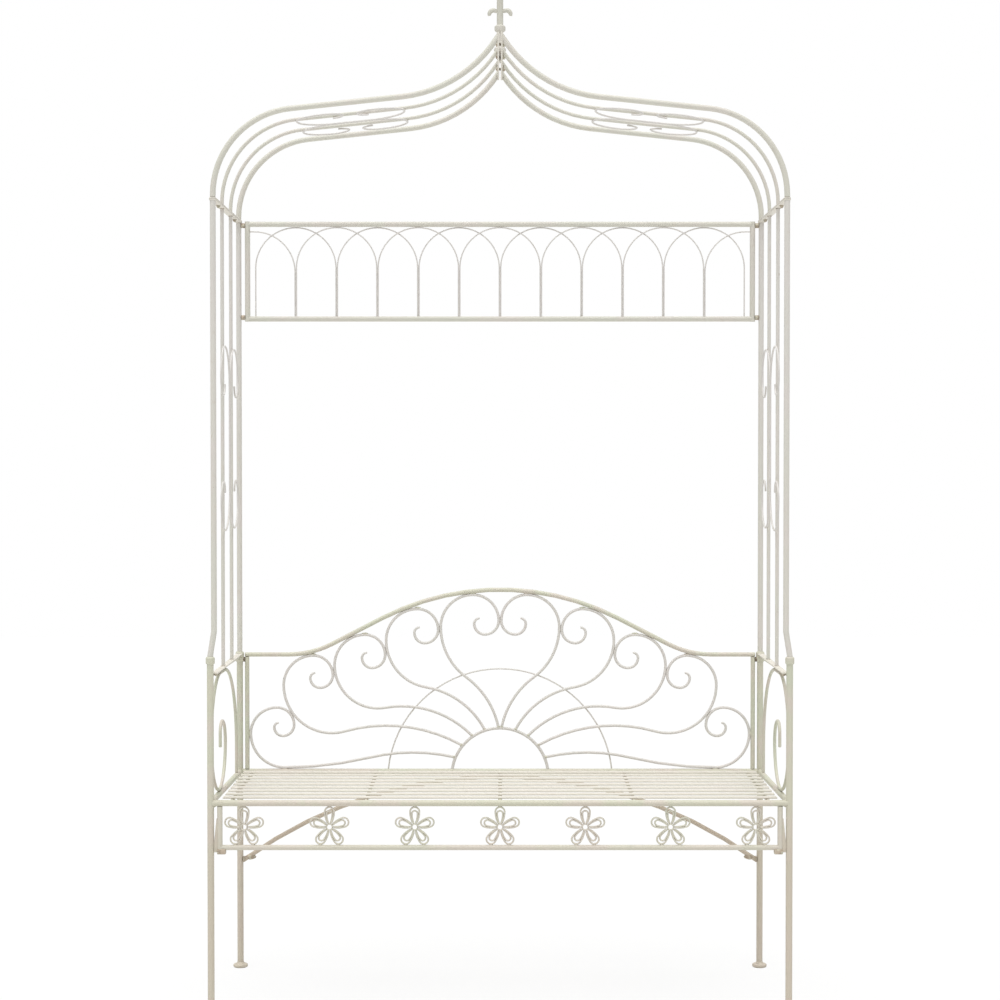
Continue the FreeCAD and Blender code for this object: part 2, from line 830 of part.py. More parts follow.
def ornament_route(length):
    """A C from its upper curl round its straight back to its lower curl; the first axis is along the C."""
    shares = (1, 0.8, 0.5, 0.3)
    wire = d.ornament_wire_diameter / 2
    radius = min(d.ornament_radius, length / 3)
    back = wire + d.touch_gap / 2
    down = Route((0, back), 0)
    down.line(length / 2 - radius)
    for share in shares:
        down.turn(share * radius, 90)
    route = Route((-down.at[0], down.at[1]), 180 - down.heading + 180)
    for share in reversed(shares):
        route.turn(share * radius, 90)
    route.line(length - 2 * radius)
    for share in shares:
        route.turn(share * radius, 90)
    return route


def trellis():
    step_low = front_leg_top + d.joggle_start
    front_points = [
        vector(-d.half_span, -d.half_depth, front_leg_top - d.spigot_length),
        vector(-d.half_span, -d.half_depth, step_low),
        vector(-trellis_x, -d.half_depth, step_low + d.joggle_height),
        vector(-trellis_x, -d.half_depth, d.trellis_top),
    ]
    rear_points = [
        vector(-trellis_x, d.half_depth, rear_leg_top - d.spigot_length),
        vector(-trellis_x, d.half_depth, d.trellis_top),
    ]
    pair("trellis_front_post", trellis_post("trellis_front_post", front_points))
    pair("trellis_rear_post", trellis_post("trellis_rear_post", rear_points))

    sill_low = d.arm_rail_height + d.arm_rail_diameter / 2 + d.weld_gap
    sill_reach = d.half_depth - leg_radius - d.touch_gap
    both("trellis_sills", flat("trellis_sill", sill_low, sill_reach))
    head_reach = d.half_depth + d.post_diameter / 2
    head_low = d.trellis_top + d.weld_gap
    both("trellis_heads", flat("trellis_head", head_low, head_reach))

    bars = []
    for depth in (-thin_depth, thin_depth):
        bar = doc.addObject("Part::Cylinder", f"thin_bar_{len(bars) + 1}")
        bind(bar, Radius="thin_bar_diameter / 2")
        foot = sill_low + d.flat_thickness + d.weld_gap
        bar.Height = d.trellis_top - foot
        bar.Placement.Base = vector(-trellis_x, depth, foot)
        bars.append(bar)
    both("trellis_thin_bars", group("thin_bars_side", bars))

    middle = (sill_low + d.trellis_top) / 2
    route = ornament_route(d.trellis_scroll_height)
    rear = bent(
        "trellis_scroll_rear",
        route,
        lambda along, out: vector(trellis_scroll_plane, out, middle + along),
        "ornament_wire_diameter / 2",
        THIN_SIDES,
    )
    front = bent(
        "trellis_scroll_front",
        route,
        lambda along, out: vector(trellis_scroll_plane, -out, middle + along),
        "ornament_wire_diameter / 2",
        THIN_SIDES,
    )
    both("trellis_scrolls", group("trellis_scrolls_side", [rear, front]))


trellis()

# Canopy

roof_sill_low = d.trellis_top + d.weld_gap + d.flat_thickness + d.weld_gap
rib_foot = roof_sill_low + d.flat_thickness + d.weld_gap
ridge_face = d.tang_thickness / 2 + d.touch_gap + d.ridge_flat_thickness
pitch = math.radians(d.roof_pitch_angle)
steep = math.radians(d.ridge_angle)
rib_slope_length = (
    trellis_x
    - ridge_face
    - d.shoulder_radius * (1 - math.sin(pitch))
    - d.sweep_radius * (math.sin(steep) - math.sin(pitch))
) / math.cos(pitch)
slope_start = (
    trellis_x - d.shoulder_radius * (1 - math.sin(pitch)),
    rib_foot + d.rib_rise + d.shoulder_radius * math.cos(pitch),
)
ridge_height = (
    slope_start[1]
    + rib_slope_length * math.sin(pitch)
    + d.sweep_radius * (math.cos(pitch) - math.cos(steep))
)
ridge_top = ridge_height + d.ridge_flat_height / 2


def rib_route():
    """Straight up from the sill, over the shoulder, up the slope and in a hollow sweep to the ridge."""
    route = Route((-trellis_x, rib_foot), 90)
    route.line(d.rib_rise)
    route.turn(d.shoulder_radius, -(90 - d.roof_pitch_angle))
    route.line(rib_slope_length)
    route.turn(d.sweep_radius, d.ridge_angle - d.roof_pitch_angle)
    return route.line(2 * d.post_diameter)


def ridge_trim(name):
    """What a rib loses at the ridge, so that it ends on its ridge flat."""
    trim = doc.addObject("Part::Box", name)
    trim.Length = 20 * d.post_diameter
    trim.Width = 4 * d.half_depth
    trim.Height = 20 * d.post_diameter
    low = ridge_height - 10 * d.post_diameter
    trim.Placement.Base = vector(-ridge_face - d.weld_gap, -2 * d.half_depth, low)
    return trim


def rib(name, depth, diameter):
    bar = bent(f"{name}_bar", rib_route(), lambda x, z: vector(x, depth, z), f"{diameter} / 2", BAR_SIDES)
    return cut(f"{name}_trimmed", bar, [ridge_trim(f"{name}_trim")])


def canopy():
    both("roof_front_ribs", rib("front_rib", -d.half_depth, "post_diameter"))
    both("roof_rear_ribs", rib("rear_rib", d.half_depth, "post_diameter"))
    thin = [rib(f"thin_rib_{n}", side * thin_depth, "thin_bar_diameter") for n, side in ((1, -1), (2, 1))]
    both("roof_thin_ribs", group("thin_ribs_side", thin))

    reach = d.half_depth + d.post_diameter / 2
    both("roof_sills", flat("roof_sill", roof_sill_low, reach))

    ridge = doc.addObject("Part::Box", "ridge_plate")
    bind(ridge, Length="ridge_flat_thickness", Height="ridge_flat_height")
    bind(ridge, Width="2 * half_depth + post_diameter")
    ridge.Placement.Base = vector(-ridge_face, -reach, ridge_top - d.ridge_flat_height)
    both("ridge_flats", ridge)

    middle = (
        -slope_start[0] + rib_slope_length / 2 * math.cos(pitch),
        slope_start[1] + rib_slope_length / 2 * math.sin(pitch),
    )
    below = d.thin_bar_diameter / 2 + d.ornament_wire_diameter / 2 + d.touch_gap
    route = ornament_route(d.roof_scroll_length)

    def on_slope(side):
        def place(along, out):
            return vector(
                middle[0] + along * math.cos(pitch) + below * math.sin(pitch),
                side * out,
                middle[1] + along * math.sin(pitch) - below * math.cos(pitch),
            )

        return place

    scrolls = [
        bent(f"roof_scroll_{number}", route, on_slope(side), "ornament_wire_diameter / 2", THIN_SIDES)
        for number, side in ((1, -1), (2, 1))
    ]
    both("roof_scrolls", group("roof_scrolls_side", scrolls))


canopy()

# Finial


def finial():
    """A turned stem on the ridge with a tang between the two ridge flats, and two curled leaves."""
    base = d.finial_base_diameter / 2
    stem = d.finial_stem_diameter / 2
    bead = d.finial_bead_diameter / 2
    bud = d.finial_bud_diameter / 2
    foot = ridge_top + d.touch_gap
    base_high = foot + d.finial_base_height
    bead_low = foot + d.finial_bead_height
    bud_low = foot + d.finial_bud_height
    profile = [
        (0, foot),
        (base, foot),
        (base, base_high),
        (stem, base_high + base - stem),
        (stem, bead_low),
        (bead, bead_low + bead / 3),
        (bead, bead_low + bead * 2 / 3),
        (stem, bead_low + bead),
        (stem, bud_low),
        (bud, bud_low + bud),
        (bud * 0.8, bud_low + 2 * bud),
        (0, foot + d.finial_top_height),
        (0, foot),
    ]
    outline = doc.addObject("Part::Feature", "finial_outline")
    outline.Shape = Part.Face(Part.makePolygon([vector(radius, 0, height) for radius, height in profile]))
    turned = doc.addObject("Part::Revolution", "finial_turned")
    turned.Source = outline
    turned.Axis = vector(0, 0, 1)
    turned.Angle = 360
    turned.Solid = True
    tang = doc.addObject("Part::Box", "finial_tang")
    bind(tang, Length="tang_thickness", Width="tang_width", Height="ridge_flat_height + touch_gap")
    tang.Placement.Base = vector(-d.tang_thickness / 2, -d.tang_width / 2, ridge_top - d.ridge_flat_height)
    node("finial_stem", joined("finial_whole", turned, tang))

    leaf = d.finial_leaf_diameter / 2
    route = Route((-stem - d.weld_gap - leaf * 0.5, foot + d.finial_leaf_height), 120)
    route.turn(d.finial_leaf_radius, 170)
    side = bent("finial_leaf", route, lambda x, z: vector(x, 0, z), "finial_leaf_diameter / 2", WIRE_SIDES)
    seat = doc.addObject("Part::Cylinder", "finial_leaf_cope")
    bind(seat, Radius="finial_stem_diameter / 2 + weld_gap", Height="finial_top_height")
    seat.Placement.Base = vector(0, 0, foot)
    both("finial_leaves", cut("finial_leaf_coped", side, [seat]))


finial()

# Pelmet at the back under the canopy


def pelmet():
    radius = d.pelmet_rail_diameter / 2
    across = pelmet_post
    wire = d.pelmet_wire_diameter / 2
    top = d.trellis_top - d.pelmet_top_drop
    bottom = top - d.pelmet_height
    post = rod(
        "pelmet_post",
        "pelmet_rail_diameter / 2",
        "pelmet_height + pelmet_rail_diameter",
        (
            "-half_span + rear_inset + pelmet_post_inset",
            "half_depth",
            "trellis_top - pelmet_top_drop - pelmet_height - pelmet_rail_diameter / 2",
        ),
    )
    both("pelmet_posts", post)

    rails = []
    for name, height in (("top", top), ("bottom", bottom)):
        rail = doc.addObject("Part::Cylinder", f"pelmet_{name}_bar")
        bind(rail, Radius="pelmet_rail_diameter / 2")
        rail.Height = 2 * across
        rail.Placement = FreeCAD.Placement(vector(-across, d.half_depth, height), TURNED["x"])
        copes = []
        for side in (-1, 1):
            cope = doc.addObject("Part::Cylinder", f"pelmet_{name}_cope_{len(copes) + 1}")
            bind(cope, Radius="pelmet_rail_diameter / 2 + weld_gap")
            cope.Height = 8 * radius
            cope.Placement.Base = vector(side * across, d.half_depth, height - 4 * radius)
            copes.append(cope)
        rails.append(cut(f"pelmet_{name}_rail", rail, copes))
    node("pelmet_rails", group("pelmet_rails_both", rails))

    beside_wire = wire + d.touch_gap / 2
    bay = (across - radius - d.pelmet_end_gap) / 6
    arch = bay - beside_wire
    foot = bottom + radius + d.touch_gap
    crown = top - radius - d.touch_gap - wire
    straight = crown - arch - foot
    wires = []
    for place in range(-5, 6):
        layer = beside_wire if place % 2 else -beside_wire
        route = Route((place * bay - arch, foot), 90).line(straight).turn(arch, -180).line(straight)
        plane = lambda x, z, layer=layer: vector(x, d.half_depth + layer, z)
        wires.append(bent(f"pelmet_arch_{place + 6}", route, plane, "pelmet_wire_diameter / 2", THIN_SIDES))
    left = Route((-5 * bay - beside_wire, foot), 90).line(straight - d.pelmet_end_drop).turn(arch, 90)
    left.line(d.pelmet_end_gap - d.touch_gap)
    plane = lambda x, z: vector(x, d.half_depth - beside_wire, z)
    side = bent("pelmet_end_arch", left, plane, "pelmet_wire_diameter / 2", THIN_SIDES)
    wires += [side, mirrored("pelmet_end_arch_other", side)]
    node("pelmet_arches", group("pelmet_arches_all", wires))


pelmet()

# Spacers


def spacers():
    """Short round pieces that hold the backrest's and the pelmet's posts off the legs and trellis posts."""
    radius = "spacer_diameter / 2"
    back = rod(
        "back_spacer",
        radius,
        "back_post_inset - leg_diameter / 2 - back_rail_diameter / 2 - 2 * weld_gap",
        (
            "-half_span + rear_inset + leg_diameter / 2 + weld_gap",
            "half_depth",
            "arm_rail_height + rear_leg_rise - back_spacer_drop",
        ),
        "x",
    )
    both("back_spacers", back)
    length = "pelmet_post_inset - post_diameter / 2 - pelmet_rail_diameter / 2 - 2 * weld_gap"
    start = "-half_span + rear_inset + post_diameter / 2 + weld_gap"
    top = "trellis_top - pelmet_top_drop"
    low = ("pelmet_spacer_low", (start, "half_depth", f"{top} - pelmet_height + pelmet_spacer_inset"))
    high = ("pelmet_spacer_high", (start, "half_depth", f"{top} - pelmet_spacer_inset"))
    pair_of_rods = [rod(name, radius, length, base, "x") for name, base in (low, high)]
    both("pelmet_spacers", group("pelmet_spacers_side", pair_of_rods))


spacers()

doc.recompute()

for thing in doc.Objects:
    if "Invalid" in thing.State or "Error" in thing.State:
        raise RuntimeError(f"{thing.Label} is not computed: {thing.State}")
for thing in nodes:
    if thing.Shape.isNull() or not thing.Shape.isValid() or not thing.Shape.Solids:
        raise RuntimeError(f"{thing.Label} has no valid solid")

os.makedirs("parts", exist_ok=True)
for thing in nodes:
    thing.Shape.exportStep(f"parts/{thing.Label}.step")
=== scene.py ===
import math

import bmesh
import bpy
from mathutils import Matrix, Vector, noise


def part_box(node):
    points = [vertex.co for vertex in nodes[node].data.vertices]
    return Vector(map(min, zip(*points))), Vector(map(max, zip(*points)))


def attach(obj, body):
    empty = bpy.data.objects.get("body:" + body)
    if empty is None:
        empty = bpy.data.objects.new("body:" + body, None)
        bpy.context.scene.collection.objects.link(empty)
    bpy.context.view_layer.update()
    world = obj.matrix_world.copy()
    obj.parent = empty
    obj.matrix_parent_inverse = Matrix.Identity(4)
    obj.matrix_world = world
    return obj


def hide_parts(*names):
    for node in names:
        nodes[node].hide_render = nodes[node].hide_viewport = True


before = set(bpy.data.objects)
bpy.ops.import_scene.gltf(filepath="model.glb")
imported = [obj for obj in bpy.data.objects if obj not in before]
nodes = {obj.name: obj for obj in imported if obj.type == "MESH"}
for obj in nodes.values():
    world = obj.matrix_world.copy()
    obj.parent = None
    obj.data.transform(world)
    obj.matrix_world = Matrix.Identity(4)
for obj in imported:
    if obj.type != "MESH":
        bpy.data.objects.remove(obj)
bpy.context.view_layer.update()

# Sizes that the frame gives, in metres


def middle(node):
    low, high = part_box(node)
    return (low + high) / 2


def extent(node):
    low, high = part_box(node)
    return high - low


half_span = -middle("front_leg_left").x
rear_span = -middle("rear_leg_left").x
half_depth = middle("rear_leg_left").y
leg_radius = extent("front_leg_left").x / 2
front_leg_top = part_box("front_leg_left")[1].z
rear_leg_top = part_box("rear_leg_left")[1].z
seat_height = middle("seat_front_rail").z
seat_rail_radius = extent("seat_front_rail").z / 2
seat_rail_top = seat_height + seat_rail_radius
arm_height = middle("arm_rails").z
arm_rail_radius = extent("arm_rails").z / 2
back_rail_radius = extent("back_top_rail").y / 2
back_rail_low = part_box("back_top_rail")[0].z + back_rail_radius
back_rail_rise = extent("back_top_rail").z - 2 * back_rail_radius
back_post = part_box("back_posts")[1].x - extent("back_posts").y / 2
apron_rail_radius = extent("apron_lower_rail").z / 2
apron_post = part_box("apron_posts")[1].x - apron_rail_radius
apron_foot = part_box("apron_posts")[0].z
post_radius = extent("trellis_rear_post_left").x / 2
thin_bar_depth = half_depth / 3
thin_radius = extent("trellis_thin_bars").y / 2 - thin_bar_depth
pelmet_radius = extent("pelmet_rails").y / 2
pelmet_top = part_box("pelmet_rails")[1].z - pelmet_radius
pelmet_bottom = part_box("pelmet_rails")[0].z + pelmet_radius
pelmet_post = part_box("pelmet_posts")[1].x - pelmet_radius
ridge_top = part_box("ridge_flats")[1].z
ridge_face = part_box("ridge_flats")[1].x
rib_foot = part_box("roof_front_ribs")[0].z

# Sizes of the ironwork, in metres, degrees and shares

WELD_GAP = 0.0001
TOUCH_GAP = 0.0002

# Side frames: a foot's fillet is in shares of the leg's radius and the disc's height,
# and a collar reaches so far above and below the leg's top
FOOT_FILLET = ((1.7, 1), (1.25, 1.2), (1.02, 1.6))
COLLAR_WALL = 0.0025
FRONT_COLLAR = (0.004, 0.012)
REAR_COLLAR = (0.007, 0.017)
ARM_WIRE = 0.0035
ARM_BASE_RADIUS = 0.115
ARM_TOP_RUN = 0.063
ARM_REAR_INSET = 0.049
ARM_REAR_RISE = 0.06
ARM_INNER_RADII = (0.09, 0.05, 0.026)
ARM_TIP_RUN = 0.027

# Seat, apron and rear brace
SLAT_COUNT = 9
SLAT_ROUNDING = 0.0009
FLOWER_COUNT = 7
FLOWER_RING = 0.0065
FLOWER_RING_TURN = 355
PETAL_COUNT = 5
PETAL_REACH = 0.043
PETAL_WIDTH = 0.023
PETAL_SPREAD = 0.0036
PETAL_DEPTH = 0.0025
PETAL_STRIP = 0.0018
INNER_PETAL_REACH = 0.0355
INNER_PETAL_WIDTH = 0.0155
INNER_PETAL_SPREAD = 0.0022
INNER_PETAL_DEPTH = 0.002
TAB_LIFT = 0.004
TAB_STRAIGHT = 0.02
TAB_HEIGHT = 0.07
TAB_TOP_WIDTH = 0.004
CLAMP_LENGTH = 0.018
CLAMP_HEIGHT = 0.011
CLAMP_OVERHANG = 0.0012
CLAMP_ROUNDING = 0.002
LUG_ROUNDING = 0.0012
BRACE_END = 0.0125
BRACE_END_BULGE = (1.35, 1.25)

# Backrest: a curl is a row of quarter turns, in shares of its scroll's radius
BACK_RAIL_FLAT = 0.094
BACK_RAIL_LOW_RADIUS = 0.218
RAIL_SLOPE_SHARE = 1.6
SUN_RADIUS = 0.11
SUN_DROP = 0.011
SUN_WIRE = 0.003
HALO_RADIUS = 0.256
HALO_DROP = 0.022
SCROLL_COUNT = 5
SCROLL_WIRE = 0.00275
SCROLL_TIP_START = 0.8
SCROLL_TIP_LOSS = 0.25
SCROLL_RADIUS_STEP = 0.002
SCROLL_FOOT_TOP = 88
SCROLL_FOOT_STEP = 16.3
SCROLL_FOOT_LEAN = 10
MIDDLE_CURL = (1, 0.8, 0.43, 0.33, 0.17)
CURL = (1, 0.66, 0.43, 0.33, 0.17)
LAST_BEND_SHARE = 1.3

# Trellis and canopy: the finial's profile has radii, and heights above the ridge
FLAT_ROUNDING = 0.0008
ORNAMENT_WIRE = 0.002
ORNAMENT_RADIUS = 0.08
ORNAMENT_CURL = (1, 0.8, 0.5, 0.3)
RIB_RISE = 0.0057
SHOULDER_RADIUS = 0.178
ROOF_PITCH = 6
SWEEP_RADIUS = 0.269
RIDGE_ANGLE = 57
FINIAL_STEM = 0.007
FINIAL_BASE = [(0.0105, 0), (0.013, 0.002), (0.013, 0.006), (0.0105, 0.009), (FINIAL_STEM, 0.016)]
FINIAL_KNOP = [
    (FINIAL_STEM, 0.042), (0.0095, 0.0435), (0.0118, 0.046), (0.012, 0.05),
    (0.0118, 0.054), (0.0095, 0.0565), (FINIAL_STEM, 0.058),
]
FINIAL_BUD = [
    (FINIAL_STEM, 0.114), (0.0088, 0.118), (0.0115, 0.124), (0.0125, 0.131), (0.0118, 0.138),
    (0.0085, 0.15), (0.005, 0.162), (0.0022, 0.172),
]
FINIAL_TIP = 0.0006
TANG_HALF = 0.0015
TANG_ROUNDING = 0.0004
LEAF_WIRE = 0.004
LEAF_HEIGHT = 0.085
LEAF_HEADING = 120
LEAF_RADIUS = 0.0085
LEAF_TURN = 170
LEAF_THIN_SHARE = 0.9
LEAF_SWELL = 0.35

# Pelmet
PELMET_ARCHES = 11
PELMET_WIRE = 0.0015
PELMET_END_GAP = 0.0107
PELMET_END_DROP = 0.0095

# Fasteners: heads and nuts are turned profiles in shares of the bolt's radius, and the
# places of bolts are depths from the middle
WASHER = 0.0007
WASHER_SHARE = 1.8
DOME = ((0.2, -1.05), (0.75, -0.9), (1.25, -0.55), (1.5, -0.15), (1.5, 0))
NUT = ((1.5, 0), (1.68, 0.15), (1.68, 1.25), (1.5, 1.4), (1, 1.4), (0.95, 1.9), (0.6, 2.1))
NUT_SIDES = 6
ROUND_SIDES = 16
TRELLIS_BOLT = 0.0025
TRELLIS_BOLT_PLACES = (("trellis_heads", -0.135), ("trellis_heads", 0.15), ("trellis_sills", -0.196))
RIDGE_BOLT = 0.003
RIDGE_BOLT_DEPTHS = (-0.15, 0, 0.15)

# Welds: a bead's radius, and its stretch along X, Y and Z
BEAD_LUMPS = 0.28
BEAD_LUMP_SCALE = 1.7
BEAD_LUMP_SHIFT = 400
SCROLL_FOOT_BEAD = (0.0036, (1, 1.1, 1))
SCROLL_TOP_BEAD = (0.0034, (2.2, 1, 0.7))
SCROLL_SIDE_BEAD = (0.0034, (0.7, 1, 2.2))
SCROLL_FLOOR_BEAD = (0.0034, (2.4, 1, 0.7))
FLOWER_BEAD = (0.003, (1.3, 1, 0.6))
SEAT_RAIL_BEAD = (0.0042, (1, 1, 0.6))
SIDE_RAIL_BEAD = (0.004, (1, 1, 0.6))
THIN_BAR_BEAD = (thin_radius, (1.25, 1.1, 0.6))

# Flat routes of lines and arcs


class Route:
    """Points along a flat chain of lines and arcs, each tangent to the one before."""

    ARC_STEP = 5

    def __init__(self, start, heading):
        self.points = [start]
        self.heading = heading

    def line(self, length):
        turn = math.radians(self.heading)
        across, up = self.points[-1]
        self.points.append((across + length * math.cos(turn), up + length * math.sin(turn)))
        return self

    def turn(self, radius, angle):
        """An arc; a positive angle turns anticlockwise."""
        side = math.copysign(90, angle)
        to_centre = math.radians(self.heading + side)
        across, up = self.points[-1]
        centre = (across + radius * math.cos(to_centre), up + radius * math.sin(to_centre))
        count = max(2, math.ceil(abs(angle) / self.ARC_STEP))
        for number in range(1, count + 1):
            at = math.radians(self.heading - side + angle * number / count)
            self.points.append((centre[0] + radius * math.cos(at), centre[1] + radius * math.sin(at)))
        self.heading += angle
        return self

    def arc_to(self, point):
        """The one arc that leaves along the heading and ends at a point."""
        across = point[0] - self.points[-1][0]
        up = point[1] - self.points[-1][1]
        off = (math.degrees(math.atan2(up, across)) - self.heading + 180) % 360 - 180
        return self.turn(math.hypot(across, up) / (2 * math.sin(math.radians(abs(off)))), 2 * off)

    def swing_to(self, point, heading):
        """Two arcs that end at a point with a heading."""
        leave = Vector((math.cos(math.radians(self.heading)), math.sin(math.radians(self.heading))))
        arrive = Vector((math.cos(math.radians(heading)), math.sin(math.radians(heading))))
        across = Vector(point) - Vector(self.points[-1])
        reach = across.dot(leave + arrive)
        bend = 2 * (1 - leave.dot(arrive))
        handle = (math.sqrt(reach**2 + bend * across.length_squared) - reach) / bend
        halfway = (Vector(self.points[-1]) + Vector(point) + handle * (leave - arrive)) / 2
        return self.arc_to(tuple(halfway)).arc_to(point)

    def placed(self, place):
        """The points in space, by a function of their two coordinates."""
        return [place(across, up) for across, up in self.points]


def back_plane(across, up):
    """A place in the plane of the rear legs, seen from behind."""
    return Vector((-across, half_depth, up))


# Mesh builders

BACK = Vector((0, 1, 0))
UP = Vector((0, 0, 1))
ACROSS = Vector((1, 0, 0))
SHARP_ANGLE = math.radians(38)
END_SET_BACK = 0.3
END_NARROWING = 0.72


class Piece:
    """A mesh in the making, which becomes one object of the scene."""

    def __init__(self):
        self.mesh = bmesh.new()

    def skin(self, rings):
        """Faces between rings of points, with both ends closed."""
        made = [[self.mesh.verts.new(point) for point in ring] for ring in rings]
        count = len(rings[0])
        for first, second in zip(made, made[1:]):
            for n in range(count):
                after = (n + 1) % count
                self.mesh.faces.new((first[n], first[after], second[after], second[n]))
        self.mesh.faces.new(list(reversed(made[0])))
        self.mesh.faces.new(made[-1])

    def tube(self, points, normal, radius, sides=14, depth=None, trims=(None, None), taper=None):
        """A bar along points in a flat plane, with worn edges at ends that no plane across X trims.

        The depth is its half thickness along the plane's normal.
        """
        depth = depth or radius
        last = len(points) - 1
        rings = []
        for n, point in enumerate(points):
            before = points[max(n - 1, 0)]
            after = points[min(n + 1, last)]
            way = (after - before).normalized()
            out = way.cross(normal).normalized()
            share = taper(n / last) if taper else 1
            rings.append(self.ring(point, out * radius * share, normal * depth * share, sides))
        for end, beside, slot, trim in ((0, 1, 1, trims[0]), (-1, -2, -1, trims[1])):
            way = points[end] - points[beside]
            set_back = min(radius * END_SET_BACK, way.length / 2)
            way.normalize()
            if trim is None:
                rings.insert(slot, [point - way * set_back for point in rings[end]])
                rings[end] = [points[end] + (point - points[end]) * END_NARROWING for point in rings[end]]
            else:
                rings[end] = [point + way * ((trim - point.x) / way.x) for point in rings[end]]
        self.skin(rings)

    @staticmethod
    def ring(centre, out, side, sides):
        """Points round an ellipse with two half axes."""
        steps = [math.tau * n / sides for n in range(sides)]
        return [centre + out * math.cos(step) + side * math.sin(step) for step in steps]

    def lathe(self, base, axis, profile, sides=24):
        """A turned shape: radii and heights along an axis from a base point."""
        across = axis.orthogonal().normalized()
        side = axis.cross(across)
        rings = []
        for radius, height in profile:
            rings.append(self.ring(base + axis * height, across * radius, side * radius, sides))
        self.skin(rings)

    def plate(self, low, high, rounding):
        """A flat bar with rounded edges between two corners."""
        size = high - low
        place = Matrix.Translation((low + high) / 2) @ Matrix.Diagonal((*size, 1))
        # Made apart, because faces that join a mesh after a bevel come in another order each run
        bar = bmesh.new()
        bmesh.ops.create_cube(bar, size=1, matrix=place)
        bmesh.ops.bevel(bar, geom=bar.edges[:], offset=rounding, segments=3, profile=0.5, affect="EDGES")
        data = bpy.data.meshes.new("bar")
        bar.to_mesh(data)
        bar.free()
        self.mesh.from_mesh(data)
        bpy.data.meshes.remove(data)

    def bolt(self, start, end, radius):
        """A dome-headed bolt from start to end, with a nut at its end."""
        axis = (end - start).normalized()
        length = (end - start).length
        rim = radius * WASHER_SHARE
        head = [(radius * out, radius * up - WASHER) for out, up in DOME]
        head += [(rim, -WASHER), (rim, 0), (radius, 0)]
        self.lathe(start, axis, head + [(radius, length)], sides=ROUND_SIDES)
        self.nut(end, axis, radius)

    def nut(self, at, axis, radius):
        """A washer, a six-sided nut and the bolt's end."""
        rim = radius * WASHER_SHARE
        self.lathe(at, axis, [(rim, 0), (rim, WASHER), (radius, WASHER)], sides=ROUND_SIDES)
        nut = [(radius * out, radius * up) for out, up in NUT]
        self.lathe(at + axis * WASHER, axis, nut, sides=NUT_SIDES)

    def weld(self, at, bead):
        """A lumpy bead of weld under the paint."""
        size, stretch = bead
        made = bmesh.ops.create_icosphere(self.mesh, subdivisions=2, radius=1)
        for vert in made["verts"]:
            bump = 1 + BEAD_LUMPS * noise.noise(vert.co * BEAD_LUMP_SCALE + at * BEAD_LUMP_SHIFT)
            vert.co = at + Vector([vert.co[n] * bump * size * stretch[n] for n in range(3)])

    def mirror(self):
        """The same again on the other side of the middle."""
        everything = self.mesh.verts[:] + self.mesh.edges[:] + self.mesh.faces[:]
        copy = bmesh.ops.duplicate(self.mesh, geom=everything)
        faces = [item for item in copy["geom"] if isinstance(item, bmesh.types.BMFace)]
        for item in copy["geom"]:
            if isinstance(item, bmesh.types.BMVert):
                item.co.x = -item.co.x
        bmesh.ops.reverse_faces(self.mesh, faces=faces)
        return self

    def done(self, name, material, *replaced):
        """Makes the object, which stands in for the replaced nodes."""
        bmesh.ops.recalc_face_normals(self.mesh, faces=self.mesh.faces)
        for face in self.mesh.faces:
            face.smooth = True
        for edge in self.mesh.edges:
            if edge.is_manifold and edge.calc_face_angle() > SHARP_ANGLE:
                edge.smooth = False
        data = bpy.data.meshes.new(name)
        self.mesh.to_mesh(data)
        self.mesh.free()
        data.materials.append(material)
        thing = bpy.data.objects.new(name, data)
        bpy.context.scene.collection.objects.link(thing)
        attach(thing, "root")
        if replaced:
            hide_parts(*replaced)


# Materials

# The colour sockets of a mix node have numbers, because they share their names with others
MIX_ONE = 6
MIX_TWO = 7
MIX_RESULT = 2
CREVICE_SAMPLES = 8


